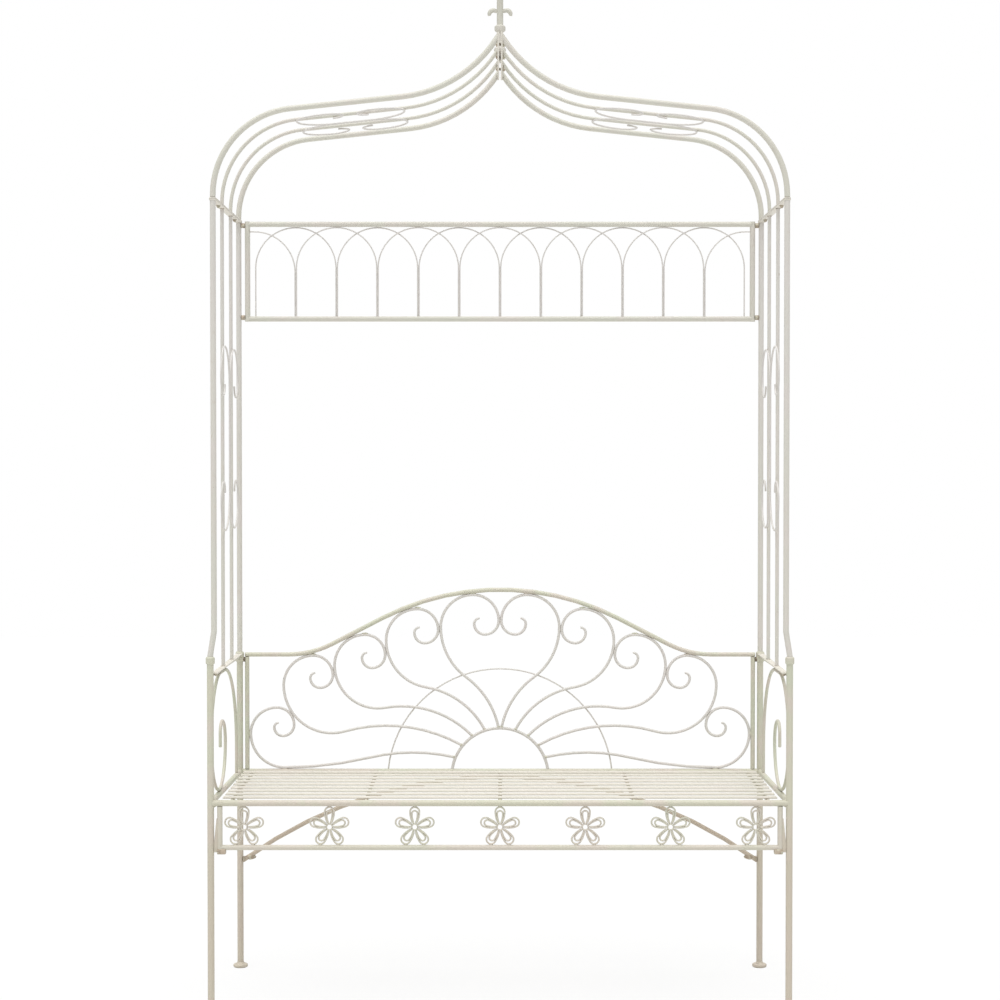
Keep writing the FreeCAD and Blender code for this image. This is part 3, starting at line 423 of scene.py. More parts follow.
class Shader:
    """A material whose nodes are made one after the other."""

    def __init__(self, name):
        self.material = bpy.data.materials.new(name)
        self.material.use_nodes = True
        self.tree = self.material.node_tree
        self.surface = self.tree.nodes["Principled BSDF"]
        self.place = self.tree.nodes.new("ShaderNodeTexCoord").outputs["Object"]

    def node(self, kind, **inputs):
        made = self.tree.nodes.new(kind)
        for name, value in inputs.items():
            self.feed(made.inputs[name.replace("_", " ")], value)
        return made

    def feed(self, socket, value):
        if isinstance(value, bpy.types.NodeSocket):
            self.tree.links.new(value, socket)
        else:
            socket.default_value = value

    def noise(self, scale, detail=3, roughness=0.55):
        inputs = {"Scale": scale, "Detail": detail, "Roughness": roughness}
        return self.node("ShaderNodeTexNoise", Vector=self.place, **inputs).outputs["Fac"]

    def ramp(self, value, low, high, to_low=0, to_high=1):
        made = self.node("ShaderNodeMapRange")
        made.interpolation_type = "SMOOTHSTEP"
        for number, setting in enumerate((value, low, high, to_low, to_high)):
            self.feed(made.inputs[number], setting)
        return made.outputs[0]

    def times(self, one, two):
        made = self.tree.nodes.new("ShaderNodeMath")
        made.operation = "MULTIPLY"
        self.feed(made.inputs[0], one)
        self.feed(made.inputs[1], two)
        return made.outputs[0]

    def mix(self, factor, one, two):
        made = self.tree.nodes.new("ShaderNodeMix")
        made.data_type = "RGBA"
        self.feed(made.inputs[0], factor)
        self.feed(made.inputs[MIX_ONE], one)
        self.feed(made.inputs[MIX_TWO], two)
        return made.outputs[MIX_RESULT]

    def crevice(self, distance, low, high):
        """How near other surfaces come, from 0 in the open to 1 in a joint."""
        made = self.node("ShaderNodeAmbientOcclusion", Distance=distance)
        made.samples = CREVICE_SAMPLES
        return self.ramp(made.outputs["AO"], high, low)

    def colour(self, tint):
        self.feed(self.surface.inputs["Base Color"], tint)

    def roughness(self, scale, low, high):
        """Patches between a smoother and a rougher finish."""
        patches = self.ramp(self.noise(scale), low=0.3, high=0.7, to_low=low, to_high=high)
        self.feed(self.surface.inputs["Roughness"], patches)

    def bump(self, height, strength, distance):
        made = self.node("ShaderNodeBump", Height=height, Strength=strength, Distance=distance)
        self.feed(self.surface.inputs["Normal"], made.outputs["Normal"])


def colour(red, green, blue):
    return (red, green, blue, 1)


CREAM = colour(0.57, 0.56, 0.45)
GREEN_GREY = colour(0.545, 0.56, 0.445)
ROSE = colour(0.595, 0.545, 0.475)
GREY = colour(0.66, 0.64, 0.60)
WIRE_GREY = colour(0.665, 0.64, 0.625)
# A paler cream: painted top light for the flat bars that face upwards
TOP_LIT_PALE = colour(0.70, 0.665, 0.595)
LOW_TAN = colour(0.535, 0.465, 0.385)
TAN = colour(0.50, 0.42, 0.33)
BROWN = colour(0.36, 0.295, 0.225)
DARK_BROWN = colour(0.21, 0.17, 0.13)

# Heights between which the paint turns grey and tan, in metres, and how much of a tint shows
GREY_FROM = 0.9
GREY_TO = 1.6
GREY_SHARE = 0.6
TAN_FROM = 0.5
TAN_TO = 0.3
STROKE_SHARE = 0.2
CHIP_SHARE = 0.7

# How metallic the worn fixings look
WORN_METAL = 0.25


def cream_paint(name, over, share, low_tan=0.7):
    """Antique cream paint: clouded tints, greyer high up, tan low down, brown in joints and chips."""
    shader = Shader(name)
    clouds = shader.ramp(shader.noise(scale=7), low=0.4, high=0.62)
    tint = shader.mix(clouds, CREAM, GREEN_GREY)
    blush = shader.ramp(shader.noise(scale=11.5), low=0.44, high=0.64)
    tint = shader.mix(blush, tint, ROSE)
    height = shader.node("ShaderNodeSeparateXYZ", Vector=shader.place).outputs["Z"]
    tint = shader.mix(shader.ramp(height, GREY_FROM, GREY_TO, to_high=GREY_SHARE), tint, GREY)
    tint = shader.mix(share, tint, over)
    tint = shader.mix(shader.ramp(height, TAN_FROM, TAN_TO, to_high=low_tan), tint, LOW_TAN)
    strokes = shader.ramp(shader.noise(scale=70, detail=4, roughness=0.6), low=0.56, high=0.74)
    tint = shader.mix(shader.times(strokes, STROKE_SHARE), tint, TAN)
    joints = shader.crevice(distance=0.006, low=0.25, high=0.7)
    patches = shader.ramp(shader.noise(scale=60), low=0.3, high=0.6, to_low=0.3, to_high=0.85)
    tint = shader.mix(shader.times(joints, patches), tint, BROWN)
    chips = shader.ramp(shader.noise(scale=55, detail=5, roughness=0.65), low=0.69, high=0.73)
    tint = shader.mix(shader.times(chips, CHIP_SHARE), tint, BROWN)
    shader.colour(tint)
    shader.roughness(scale=90, low=0.45, high=0.65)
    shader.bump(shader.noise(scale=160), strength=0.12, distance=0.0006)
    return shader.material


def worn_paint(name, dark, light, remains):
    """Brown fixings with remains of paint."""
    shader = Shader(name)
    tint = shader.mix(shader.ramp(shader.noise(scale=90), low=0.4, high=0.6), dark, light)
    left = shader.ramp(shader.noise(scale=140, detail=4), low=0.5, high=0.6, to_high=0.8)
    tint = shader.mix(left, tint, remains)
    shader.colour(tint)
    shader.roughness(scale=120, low=0.5, high=0.75)
    shader.surface.inputs["Metallic"].default_value = WORN_METAL
    shader.bump(shader.noise(scale=420, detail=4), strength=0.35, distance=0.0005)
    return shader.material


paint = cream_paint("antique_cream", CREAM, share=0)
wire_paint = cream_paint("greyed_cream", WIRE_GREY, share=0.8)
# A paler copy of the cream, with painted top light, for the slats and flat bars
top_lit_paint = cream_paint("cream_painted_top_light", TOP_LIT_PALE, share=0.8)
apron_paint = cream_paint("apron_cream", GREY, share=0.25, low_tan=0.3)
# A darker tan copy of the cream: painted shade for the brace under the seat
shaded_brace_paint = cream_paint("cream_painted_shade", TAN, share=0.9, low_tan=0.2)
trellis_paint = cream_paint("trellis_cream", WIRE_GREY, share=0.55)
worn = worn_paint("worn_brown", DARK_BROWN, BROWN, TAN)
rubbed = worn_paint("rubbed_tan", BROWN, TAN, CREAM)
finishes = {
    "back_spacers": worn,
    "pelmet_spacers": rubbed,
    "apron_lower_rail": apron_paint,
    "apron_posts": apron_paint,
}
finishes.update({name: trellis_paint for name in nodes if name.startswith("trellis")})
for name, thing in nodes.items():
    thing.data.materials.clear()
    thing.data.materials.append(finishes.get(name, paint))

# Side frames


def feet():
    """Disc feet with rounded rims and a fillet of weld round each leg."""
    piece = Piece()
    radius = extent("foot_discs").y / 2 - half_depth
    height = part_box("foot_discs")[1].z
    edge = height / 4
    profile = [
        (radius - edge, 0),
        (radius, edge),
        (radius, height - edge),
        (radius - edge, height - edge / 4),
    ]
    profile += [(leg_radius * out, height * up) for out, up in FOOT_FILLET]
    for across, depth in ((half_span, -half_depth), (rear_span, half_depth)):
        for side in (-1, 1):
            piece.lathe(Vector((side * across, depth, 0)), UP, profile, sides=32)
    piece.done("feet", paint, "foot_discs")


def collars():
    """Painted sleeves round the leg tops, where the trellis posts stand in the legs."""
    piece = Piece()
    radius = leg_radius + COLLAR_WALL
    for across, depth, top, (above, below) in (
        (half_span, -half_depth, front_leg_top, FRONT_COLLAR),
        (rear_span, half_depth, rear_leg_top, REAR_COLLAR),
    ):
        height = above + below
        profile = [(leg_radius, 0), (radius, COLLAR_WALL)]
        profile += [(radius, height - COLLAR_WALL), (leg_radius, height)]
        for side in (-1, 1):
            piece.lathe(Vector((side * across, depth, top - below)), UP, profile)
    piece.done("leg_collars", paint)


def arm_scrolls():
    """From the side rail up to the arm rail, down the front leg, back to the side rail and into a hook."""
    way = Vector((half_span - rear_span, 2 * half_depth, 0))
    along = way.normalized()
    centre = Vector((-(half_span + rear_span) / 2, 0, 0))
    top = arm_height - arm_rail_radius - TOUCH_GAP - ARM_WIRE
    bottom = seat_rail_top + TOUCH_GAP + ARM_WIRE
    reach = way.length / 2 - leg_radius - TOUCH_GAP - ARM_WIRE
    front_radius = top - bottom - ARM_BASE_RADIUS
    crest = front_radius - reach + ARM_TOP_RUN
    route = Route((reach - ARM_REAR_INSET, bottom - ARM_WIRE), 90).line(ARM_REAR_RISE)
    route.swing_to((crest, top), 180).line(ARM_TOP_RUN).turn(front_radius, 90).turn(ARM_BASE_RADIUS, 90)
    for radius in ARM_INNER_RADII:
        route.turn(radius, 90)
    route.line(ARM_TIP_RUN)
    for name, side in (("left", 1), ("right", -1)):
        mirror = Matrix.Diagonal((side, 1, 1))
        points = route.placed(lambda out, up: mirror @ (centre + along * out + UP * up))
        piece = Piece()
        piece.tube(points, mirror @ along.cross(UP), ARM_WIRE)
        piece.done(f"arm_curl_{name}", paint, f"arm_scroll_{name}")


feet()
collars()
arm_scrolls()

# Seat


def slats():
    """Flat slats with rounded edges, in a paler cream that paints light from above on them."""
    low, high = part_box("seat_slats")
    width = (high.y - low.y) - 2 * half_depth * (SLAT_COUNT - 1) / (SLAT_COUNT + 1)
    piece = Piece()
    for number in range(1, SLAT_COUNT + 1):
        front = 2 * half_depth * number / (SLAT_COUNT + 1) - half_depth - width / 2
        piece.plate(Vector((low.x, front, low.z)), Vector((high.x, front + width, high.z)), SLAT_ROUNDING)
    piece.done("slats", top_lit_paint, "seat_slats")


slats()

# Apron under the seat front


def petal_loop(reach, width, spread):
    """One petal's line: out along one bowed side, round its tip and back along the other side."""
    root = FLOWER_RING + PETAL_STRIP
    radius = width / 2 - PETAL_STRIP
    run = reach - width / 2 - root
    bend = 2 * math.atan2(radius - spread, run)
    bow = run / math.sin(bend)
    lean = math.degrees(bend)
    return Route((root, -spread), -lean).turn(bow, lean).turn(radius, 180).turn(bow, lean)


def flowers():
    """Seven flowers of five petals round a ring, each petal with a smaller loop inside it."""
    loops = (
        (petal_loop(PETAL_REACH, PETAL_WIDTH, PETAL_SPREAD), PETAL_DEPTH),
        (petal_loop(INNER_PETAL_REACH, INNER_PETAL_WIDTH, INNER_PETAL_SPREAD), INNER_PETAL_DEPTH),
    )
    ring = Route((FLOWER_RING, 0), 90).turn(FLOWER_RING, FLOWER_RING_TURN)
    for number in range(1, FLOWER_COUNT + 1):
        node = f"apron_flower_{number}"
        low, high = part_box(node)
        centre = Vector(((low.x + high.x) / 2, -half_depth, high.z - PETAL_REACH))
        piece = Piece()
        for petal in range(PETAL_COUNT):
            at = math.radians(90 + 360 / PETAL_COUNT * petal)
            along = Vector((math.cos(at), 0, math.sin(at)))
            aside = along.cross(BACK)
            for loop, depth in loops:
                points = loop.placed(lambda out, side: centre + along * out + aside * side)
                piece.tube(points, BACK, PETAL_STRIP, sides=10, depth=depth)
        points = ring.placed(lambda out, up: centre + Vector((out, 0, up)))
        piece.tube(points, BACK, PETAL_STRIP, sides=10, depth=PETAL_DEPTH)
        piece.done(f"flower_{number}", apron_paint, node)


flowers()

# Rear brace


def brace():
    """One arc between the rear legs, with its flattened ends on the lugs' plates, in a darker tan cream
    that paints the shade under the seat.
    """
    radius = extent("rear_arch_brace").y / 2
    far_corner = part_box("rear_arch_brace")[1]
    reach = far_corner.x
    apex = far_corner.z - radius
    end = middle("brace_lugs").z
    rise = apex - end
    slope = 2 * math.degrees(math.atan2(rise, reach))
    bend = (reach**2 + rise**2) / (2 * rise)
    route = Route((-reach, end), slope).turn(bend, -2 * slope)
    piece = Piece()
    piece.tube(route.placed(back_plane), BACK, radius, trims=(reach, -reach))
    # The brace takes the darker tan cream, which is painted shade
    piece.done("arch_brace", shaded_brace_paint, "rear_arch_brace")

    low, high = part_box("brace_lugs")
    half = (high.z - low.z) / 3
    lugs = Piece()
    lugs.plate(Vector((low.x, low.y, end - half)), Vector((-reach, high.y, end + half)), LUG_ROUNDING)
    flattened = (radius, (BRACE_END / radius, *BRACE_END_BULGE))
    lugs.weld(Vector((BRACE_END - reach, half_depth, end + radius)), flattened)
    lugs.mirror().done("brace_plates", rubbed, "brace_lugs")


brace()

# Backrest


def back_rail():
    """A flat end, a hollow arc, a slope and a crown, then the same again the other way."""
    run = back_post - BACK_RAIL_FLAT
    slope = RAIL_SLOPE_SHARE * math.degrees(math.atan2(back_rail_rise, run))
    lean = math.radians(slope)
    radii = (run * math.sin(lean) - back_rail_rise * math.cos(lean)) / (1 - math.cos(lean))
    straight = (run - radii * math.sin(lean)) / math.cos(lean)
    flat = BACK_RAIL_FLAT + back_rail_radius
    route = Route((-back_post - back_rail_radius, back_rail_low), 0).line(flat)
    route.turn(BACK_RAIL_LOW_RADIUS, slope).line(straight).turn(radii - BACK_RAIL_LOW_RADIUS, -2 * slope)
    route.line(straight).turn(BACK_RAIL_LOW_RADIUS, slope).line(flat)
    piece = Piece()
    piece.tube(route.placed(back_plane), BACK, back_rail_radius)
    piece.done("backrest_rail", paint, "back_top_rail")


def worn_tip(share):
    """The thickness along a scroll, which thins out over the last part of its curl."""
    return 1 - SCROLL_TIP_LOSS * max(0, share - SCROLL_TIP_START) / (1 - SCROLL_TIP_START)


def back_scrolls():
    """Five scrolls on each side, from the sun to the top rail, the posts and each other."""
    floor = seat_rail_top + TOUCH_GAP + SCROLL_WIRE
    foot_radius = SUN_RADIUS + SUN_WIRE + TOUCH_GAP
    foot_radius += SCROLL_WIRE * math.sin(math.radians(SCROLL_FOOT_LEAN))
    middle_reach = -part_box("back_scroll_left_1")[0].x - 2 * SCROLL_WIRE - TOUCH_GAP / 2
    first_radius = middle_reach / (1 + MIDDLE_CURL[1])
    places = []
    for number in range(SCROLL_COUNT):
        low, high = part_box(f"back_scroll_left_{number + 1}")
        outer = -low.x - SCROLL_WIRE
        top = high.z - SCROLL_WIRE
        angle = SCROLL_FOOT_TOP - SCROLL_FOOT_STEP * number
        foot = (
            foot_radius * math.cos(math.radians(angle)),
            seat_height - SUN_DROP + foot_radius * math.sin(math.radians(angle)),
        )
        route = Route(foot, angle - SCROLL_FOOT_LEAN)
        if number < SCROLL_COUNT - 1:
            radius = first_radius - number * SCROLL_RADIUS_STEP
            route.swing_to((outer, top - radius), 90)
        else:
            radius = (top - floor) / (1 + LAST_BEND_SHARE)
            bend = LAST_BEND_SHARE * radius
            route.swing_to((outer - bend, floor), 0).turn(bend, 90)
        for share in CURL if number else MIDDLE_CURL:
            route.turn(share * radius, 90)
        places.append((foot, (outer, top - radius), radius))
        for name, side in (("left", 1), ("right", -1)):
            points = route.placed(lambda across, up: Vector((-side * across, half_depth, up)))
            piece = Piece()
            piece.tube(points, BACK, (high.y - low.y) / 2, sides=12, taper=worn_tip)
            piece.done(f"scroll_{name}_{number + 1}", wire_paint, f"back_scroll_{name}_{number + 1}")
    return places


def arch(name, node, radius, drop):
    """A round arch on the back rail, whose centre lies below the rail's middle."""
    low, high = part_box(node)
    depth = (low.y + high.y) / 2
    centre = seat_height - drop
    foot = math.degrees(math.asin((low.z - centre) / radius))
    start = (-radius * math.cos(math.radians(foot)), low.z)
    route = Route(start, 90 - foot).turn(radius, -(180 - 2 * foot))
    piece = Piece()
    piece.tube(route.placed(lambda x, z: Vector((-x, depth, z))), BACK, (high.y - low.y) / 2, sides=12)
    piece.done(name, wire_paint, node)


back_rail()
scroll_places = back_scrolls()
arch("sun", "sun_arch", SUN_RADIUS, SUN_DROP)
arch("halo", "halo_arch", HALO_RADIUS, HALO_DROP)

# Trellis sides and canopy


def inner_face(node):
    """How far from the middle a node's left-hand solid begins."""
    return min(abs(vertex.co.x) for vertex in nodes[node].data.vertices)


def extent_along(node, way):
    """The length of a node's left-hand side along a direction."""
    reaches = [vertex.co.dot(way) for vertex in nodes[node].data.vertices if vertex.co.x < 0]
    return max(reaches) - min(reaches)


def flats():
    """The flat bars of the trellis and the ridge, with rounded edges, in a paler cream that paints light
    from above on them.
    """
    for name, node in (
        ("trellis_foot_flats", "trellis_sills"),
        ("trellis_top_flats", "trellis_heads"),
        ("roof_foot_flats", "roof_sills"),
        ("ridge_bars", "ridge_flats"),
    ):
        low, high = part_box(node)
        piece = Piece()
        piece.plate(low, Vector((-inner_face(node), high.y, high.z)), FLAT_ROUNDING)
        piece.mirror().done(name, top_lit_paint, node)


def ornament(length):
    """A C from its upper curl round its straight back to its lower curl."""
    radius = min(ORNAMENT_RADIUS, length / 3)
    half = length / 2 - radius
    back = ORNAMENT_WIRE + TOUCH_GAP / 2
    end = Route((half, back), 0)
    for share in ORNAMENT_CURL:
        end.turn(share * radius, 90)
    mirrored = [(-across, up) for across, up in reversed(end.points)]
    return mirrored + end.points


def trellis_scrolls():
    """Two ornaments back to back in the middle of each side."""
    low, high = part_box("trellis_scrolls")
    centre = (low.z + high.z) / 2
    across = low.x + ORNAMENT_WIRE
    line = ornament(high.z - low.z - 2 * ORNAMENT_WIRE)
    piece = Piece()
    for side in (-1, 1):
        points = [Vector((across, side * out, centre + along)) for along, out in line]
        piece.tube(points, ACROSS, ORNAMENT_WIRE, sides=10)
    piece.mirror().done("trellis_curls", wire_paint, "trellis_scrolls")


def rib_line():
    """The line of every rib, from the trellis to the ridge, with its slope's start and length."""
    pitch = math.radians(ROOF_PITCH)
    steep = math.radians(RIDGE_ANGLE)
    level = rear_span - ridge_face - SHOULDER_RADIUS * (1 - math.sin(pitch))
    level -= SWEEP_RADIUS * (math.sin(steep) - math.sin(pitch))
    slope = level / math.cos(pitch)
    route = Route((-rear_span, rib_foot), 90).line(RIB_RISE).turn(SHOULDER_RADIUS, -(90 - ROOF_PITCH))
    slope_start = route.points[-1]
    route.line(slope / 2).line(slope / 2).turn(SWEEP_RADIUS, RIDGE_ANGLE - ROOF_PITCH)
    return route, slope_start, slope


def ribs():
    """Thick ribs in front and behind, and thin ones between them."""
    route = rib_line()[0]
    for name, node, depths, radius in (
        ("front_ribs", "roof_front_ribs", (-half_depth,), post_radius),
        ("thin_ribs", "roof_thin_ribs", (-thin_bar_depth, thin_bar_depth), thin_radius),
        ("rear_ribs", "roof_rear_ribs", (half_depth,), post_radius),
    ):
        piece = Piece()
        for depth in depths:
            points = route.placed(lambda x, z: Vector((x, depth, z)))
            piece.tube(points, BACK, radius, sides=16, trims=(None, -ridge_face - WELD_GAP))
        piece.mirror().done(name, paint, node)


def roof_scrolls():
    """Two ornaments back to back under the slope of the thin ribs, on each side."""
    slope_start, slope = rib_line()[1:]
    pitch = math.radians(ROOF_PITCH)
    along = Vector((math.cos(pitch), 0, math.sin(pitch)))
    down = Vector((math.sin(pitch), 0, -math.cos(pitch)))
    below = thin_radius + ORNAMENT_WIRE + TOUCH_GAP
    centre = Vector((slope_start[0], 0, slope_start[1])) + along * slope / 2 + down * below
    line = ornament(extent_along("roof_scrolls", along) - 2 * ORNAMENT_WIRE)
    piece = Piece()
    for side in (-1, 1):
        points = [centre + along * out + BACK * side * up for out, up in line]
        piece.tube(points, down, ORNAMENT_WIRE, sides=10)
    piece.mirror().done("roof_curls", wire_paint, "roof_scrolls")


flats()
trellis_scrolls()
ribs()
roof_scrolls()

# Finial


def finial():
    """A turned stem with a knop and a bud, on a tang between the ridge's flats."""
    low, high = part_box("finial_stem")
    foot = ridge_top + TOUCH_GAP
    profile = FINIAL_BASE + FINIAL_KNOP + FINIAL_BUD + [(FINIAL_TIP, high.z - foot)]
    piece = Piece()
    piece.lathe(Vector((0, 0, foot)), UP, profile, sides=28)
    tang_top = Vector((TANG_HALF, high.y, foot + TANG_HALF))
    piece.plate(Vector((-TANG_HALF, low.y, low.z)), tang_top, TANG_ROUNDING)
    piece.done("finial", paint, "finial_stem")


def leaf_swell(share):
    """The thickness along a leaf, which is greatest halfway."""
    return LEAF_THIN_SHARE + LEAF_SWELL * math.sin(math.pi * share)


def finial_leaves():
    """A hooked leaf on each side of the stem."""
    start = (-FINIAL_STEM, ridge_top + TOUCH_GAP + LEAF_HEIGHT)
    route = Route(start, LEAF_HEADING).turn(LEAF_RADIUS, LEAF_TURN)
    piece = Piece()
    piece.tube(route.placed(lambda x, z: Vector((x, 0, z))), BACK, LEAF_WIRE, taper=leaf_swell)
    piece.mirror().done("finial_curls", paint, "finial_leaves")


finial()
finial_leaves()

# Pelmet


def pelmet():
    """Interlaced arches in two layers of wire, with a half arch at each end."""
    beside = PELMET_WIRE + TOUCH_GAP / 2
    last = PELMET_ARCHES // 2
    bay = (pelmet_post - pelmet_radius - PELMET_END_GAP) / (last + 1)
    radius = bay - beside
    foot = pelmet_bottom + pelmet_radius + TOUCH_GAP
    crown = pelmet_top - pelmet_radius - TOUCH_GAP - PELMET_WIRE
    straight = crown - radius - foot
    piece = Piece()
    for place in range(-last, last + 1):
        layer = beside if place % 2 else -beside
        route = Route((place * bay - radius, foot), 90).line(straight).turn(radius, -180).line(straight)
        points = route.placed(lambda x, z: Vector((x, half_depth + layer, z)))
        piece.tube(points, BACK, PELMET_WIRE, sides=10)
    for side in (-1, 1):
        route = Route((-last * bay - beside, foot), 90).line(straight - PELMET_END_DROP).turn(radius, 90)
        route.line(PELMET_END_GAP - TOUCH_GAP)
        points = route.placed(lambda x, z: Vector((side * x, half_depth - beside, z)))
        piece.tube(points, BACK, PELMET_WIRE, sides=10)
    piece.done("pelmet_wires", wire_paint, "pelmet_arches")


pelmet()

# Fasteners


def apron_tabs():
    """Tapered tabs between the front legs and the apron's posts, wide at the foot."""
    leg = half_span - leg_radius
    post = apron_post + apron_rail_radius / 2
    foot = apron_foot + TAB_LIFT
    half = apron_rail_radius / 2
    rings = []
    for height, outer in ((0, leg), (TAB_STRAIGHT, leg), (TAB_HEIGHT, post + TAB_TOP_WIDTH)):
        corners = ((-outer, -half), (-post, -half), (-post, half), (-outer, half))
        rings.append([Vector((x, y - half_depth, foot + height)) for x, y in corners])
    piece = Piece()
    piece.skin(rings)
    piece.mirror().done("apron_tabs", paint)


def trellis_nuts():
    """Nuts under the flats of the trellis."""
    piece = Piece()
    for node, depth in TRELLIS_BOLT_PLACES:
        piece.nut(Vector((-rear_span, depth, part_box(node)[0].z)), -UP, TRELLIS_BOLT)
    piece.mirror().done("trellis_nuts", rubbed)


def apron_clamps():
    """Clamps at the feet of the apron's posts."""
    outer = apron_post + apron_rail_radius
    deep = apron_rail_radius + CLAMP_OVERHANG
    low = Vector((-outer, -half_depth - deep, apron_foot))
    high = Vector((CLAMP_LENGTH - outer, deep - half_depth, apron_foot + CLAMP_HEIGHT))
    piece = Piece()
    piece.plate(low, high, CLAMP_ROUNDING)
    piece.mirror().done("apron_clamps", rubbed)


def ridge_bolts():
    """Bolts through both flats of the ridge."""
    height = ridge_top - extent("ridge_flats").z / 2
    piece = Piece()
    for depth in RIDGE_BOLT_DEPTHS:
        at = Vector((0, depth, height))
        piece.bolt(at - ACROSS * ridge_face, at + ACROSS * ridge_face, RIDGE_BOLT)
    piece.done("ridge_bolts", rubbed)


apron_tabs()
trellis_nuts()
apron_clamps()
ridge_bolts()

# Welds


def backrest_welds():
    """Beads where the scrolls meet the sun, the top rail, the posts and the back rail."""
    piece = Piece()
    for number, (foot, outer, radius) in enumerate(scroll_places):
        piece.weld(back_plane(*foot), SCROLL_FOOT_BEAD)
        if number < SCROLL_COUNT - 1:
            piece.weld(back_plane(outer[0] - radius, outer[1] + radius + SCROLL_WIRE), SCROLL_TOP_BEAD)
        else:
            bend = LAST_BEND_SHARE * radius
            piece.weld(back_plane(outer[0] + SCROLL_WIRE, outer[1]), SCROLL_SIDE_BEAD)
            piece.weld(back_plane(outer[0] - bend, seat_rail_top), SCROLL_FLOOR_BEAD)
    piece.mirror().done("backrest_welds", paint)


def apron_welds():
    """Beads above the upright petal and under the two low petals of each flower."""
    low_petal = (PETAL_REACH - PETAL_WIDTH / 2) * math.sin(math.pi / PETAL_COUNT)
    piece = Piece()
    for number in range(1, FLOWER_COUNT + 1):
        low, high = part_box(f"apron_flower_{number}")
        across = (low.x + high.x) / 2
        piece.weld(Vector((across, -half_depth, high.z)), FLOWER_BEAD)
        for side in (-1, 1):
            piece.weld(Vector((across + side * low_petal, -half_depth, low.z)), FLOWER_BEAD)
    piece.done("apron_welds", apron_paint)


def frame_welds():
    """Beads under the rails' ends at the legs."""
    low = seat_height - seat_rail_radius
    piece = Piece()
    for depth, across in ((-half_depth, half_span), (half_depth, rear_span)):
        piece.weld(Vector((leg_radius - across, depth, low)), SEAT_RAIL_BEAD)
        inward = -math.copysign(leg_radius, depth)
        for height in (low, arm_height - arm_rail_radius):
            piece.weld(Vector((-across, depth + inward, height)), SIDE_RAIL_BEAD)
    piece.mirror().done("frame_welds", paint)


def trellis_welds():
    """Beads at both ends of the thin bars."""
    piece = Piece()
    for level in (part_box("trellis_heads")[0].z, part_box("trellis_sills")[1].z):
        for depth in (-thin_bar_depth, thin_bar_depth):
            piece.weld(Vector((-rear_span, depth, level)), THIN_BAR_BEAD)
    piece.mirror().done("trellis_welds", worn)


backrest_welds()
apron_welds()
frame_welds()
trellis_welds()

# Stage

FLOOR_SIZE = 9
FLOOR_COLOUR = colour(0.83, 0.83, 0.82)
FLOOR_GLOW = 0.85
ROOM_COLOUR = colour(1, 0.995, 0.98)
ROOM_STRENGTH = 0.5
WHITE = colour(1, 1, 1)
SKYLIGHT_PLACE = (-0.3, -1.0, 4.0)
SKYLIGHT_STRENGTH = 2.8
SKYLIGHT_SPREAD = 70
CAMERA_PLACE = (0, -4.775, 1.179)
CAMERA_TILT = 1.301
CAMERA_LENS = 79.26
CAMERA_SENSOR = 36


def seen_rays(tree):
    """1 for rays from the camera, straight, mirrored or through glass, else 0."""
    light = tree.nodes.new("ShaderNodeLightPath")
    total = light.outputs["Is Camera Ray"]
    for name in ("Is Glossy Ray", "Is Transmission Ray"):
        largest = tree.nodes.new("ShaderNodeMath")
        largest.operation = "MAXIMUM"
        tree.links.new(total, largest.inputs[0])
        tree.links.new(light.outputs[name], largest.inputs[1])
        total = largest.outputs[0]
    return total


def blend(tree, share, one, two, output):
    """Leads a mix of two shaders to the output."""
    both = tree.nodes.new("ShaderNodeMixShader")
    tree.links.new(share, both.inputs[0])
    tree.links.new(one.outputs[0], both.inputs[1])
    tree.links.new(two.outputs[0], both.inputs[2])
    tree.links.new(both.outputs[0], tree.nodes[output].inputs["Surface"])


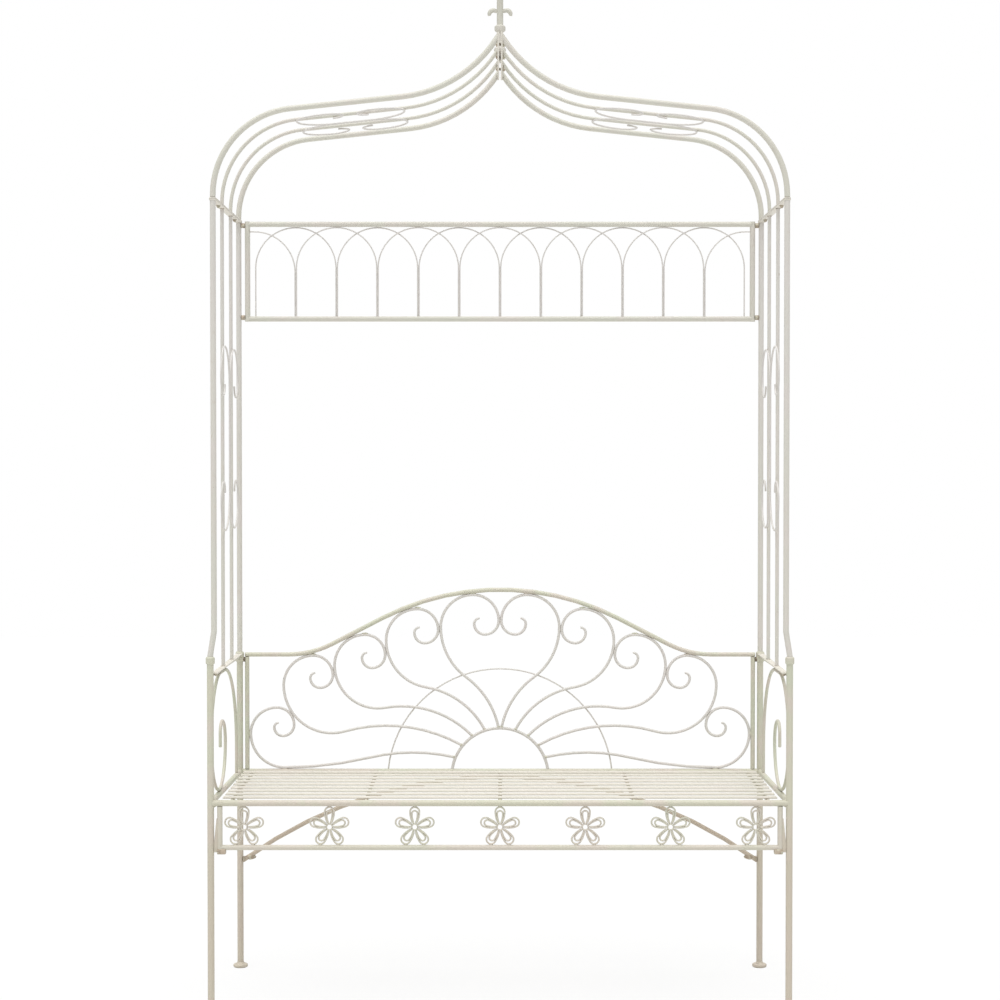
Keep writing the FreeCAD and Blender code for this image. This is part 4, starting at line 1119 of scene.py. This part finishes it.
def floor_material():
    """Pale and matt, but nearly white to the camera, so that only the soft shadow shows."""
    material = bpy.data.materials.new("floor")
    material.use_nodes = True
    tree = material.node_tree
    tree.nodes.remove(tree.nodes["Principled BSDF"])
    diffuse = tree.nodes.new("ShaderNodeBsdfDiffuse")
    diffuse.inputs["Color"].default_value = FLOOR_COLOUR
    glow = tree.nodes.new("ShaderNodeEmission")
    share = tree.nodes.new("ShaderNodeMath")
    share.operation = "MULTIPLY"
    tree.links.new(seen_rays(tree), share.inputs[0])
    share.inputs[1].default_value = FLOOR_GLOW
    blend(tree, share.outputs[0], diffuse, glow, "Material Output")
    return material


def stage():
    """A plain floor under the bench."""
    data = bpy.data.meshes.new("floor")
    grid = bmesh.new()
    bmesh.ops.create_grid(grid, x_segments=1, y_segments=1, size=FLOOR_SIZE)
    grid.to_mesh(data)
    grid.free()
    data.materials.append(floor_material())
    floor = bpy.data.objects.new("floor", data)
    bpy.context.scene.collection.objects.link(floor)


def surround():
    """Soft light from all round, which the camera sees as white."""
    world = bpy.data.worlds.new("studio")
    world.use_nodes = True
    bpy.context.scene.world = world
    tree = world.node_tree
    room = tree.nodes["Background"]
    room.inputs["Color"].default_value = ROOM_COLOUR
    room.inputs["Strength"].default_value = ROOM_STRENGTH
    white = tree.nodes.new("ShaderNodeBackground")
    white.inputs["Color"].default_value = WHITE
    blend(tree, seen_rays(tree), room, white, "World Output")


def skylight():
    """A broad soft light from above, even over the whole height."""
    data = bpy.data.lights.new("skylight", "SUN")
    data.energy = SKYLIGHT_STRENGTH
    data.angle = math.radians(SKYLIGHT_SPREAD)
    thing = bpy.data.objects.new("skylight", data)
    thing.location = SKYLIGHT_PLACE
    thing.rotation_euler = Vector(SKYLIGHT_PLACE).to_track_quat("Z", "Y").to_euler()
    bpy.context.scene.collection.objects.link(thing)


def camera():
    """At the photograph's angle: level with the middle of the trellis, a little downward."""
    data = bpy.data.cameras.new("camera")
    data.sensor_width = CAMERA_SENSOR
    data.lens = CAMERA_LENS
    eye = bpy.data.objects.new("camera", data)
    eye.location = CAMERA_PLACE
    eye.rotation_euler = (math.radians(90 - CAMERA_TILT), 0, 0)
    bpy.context.scene.collection.objects.link(eye)
    bpy.context.scene.camera = eye


stage()
surround()
skylight()
camera()
bpy.context.scene.view_settings.view_transform = "Standard"
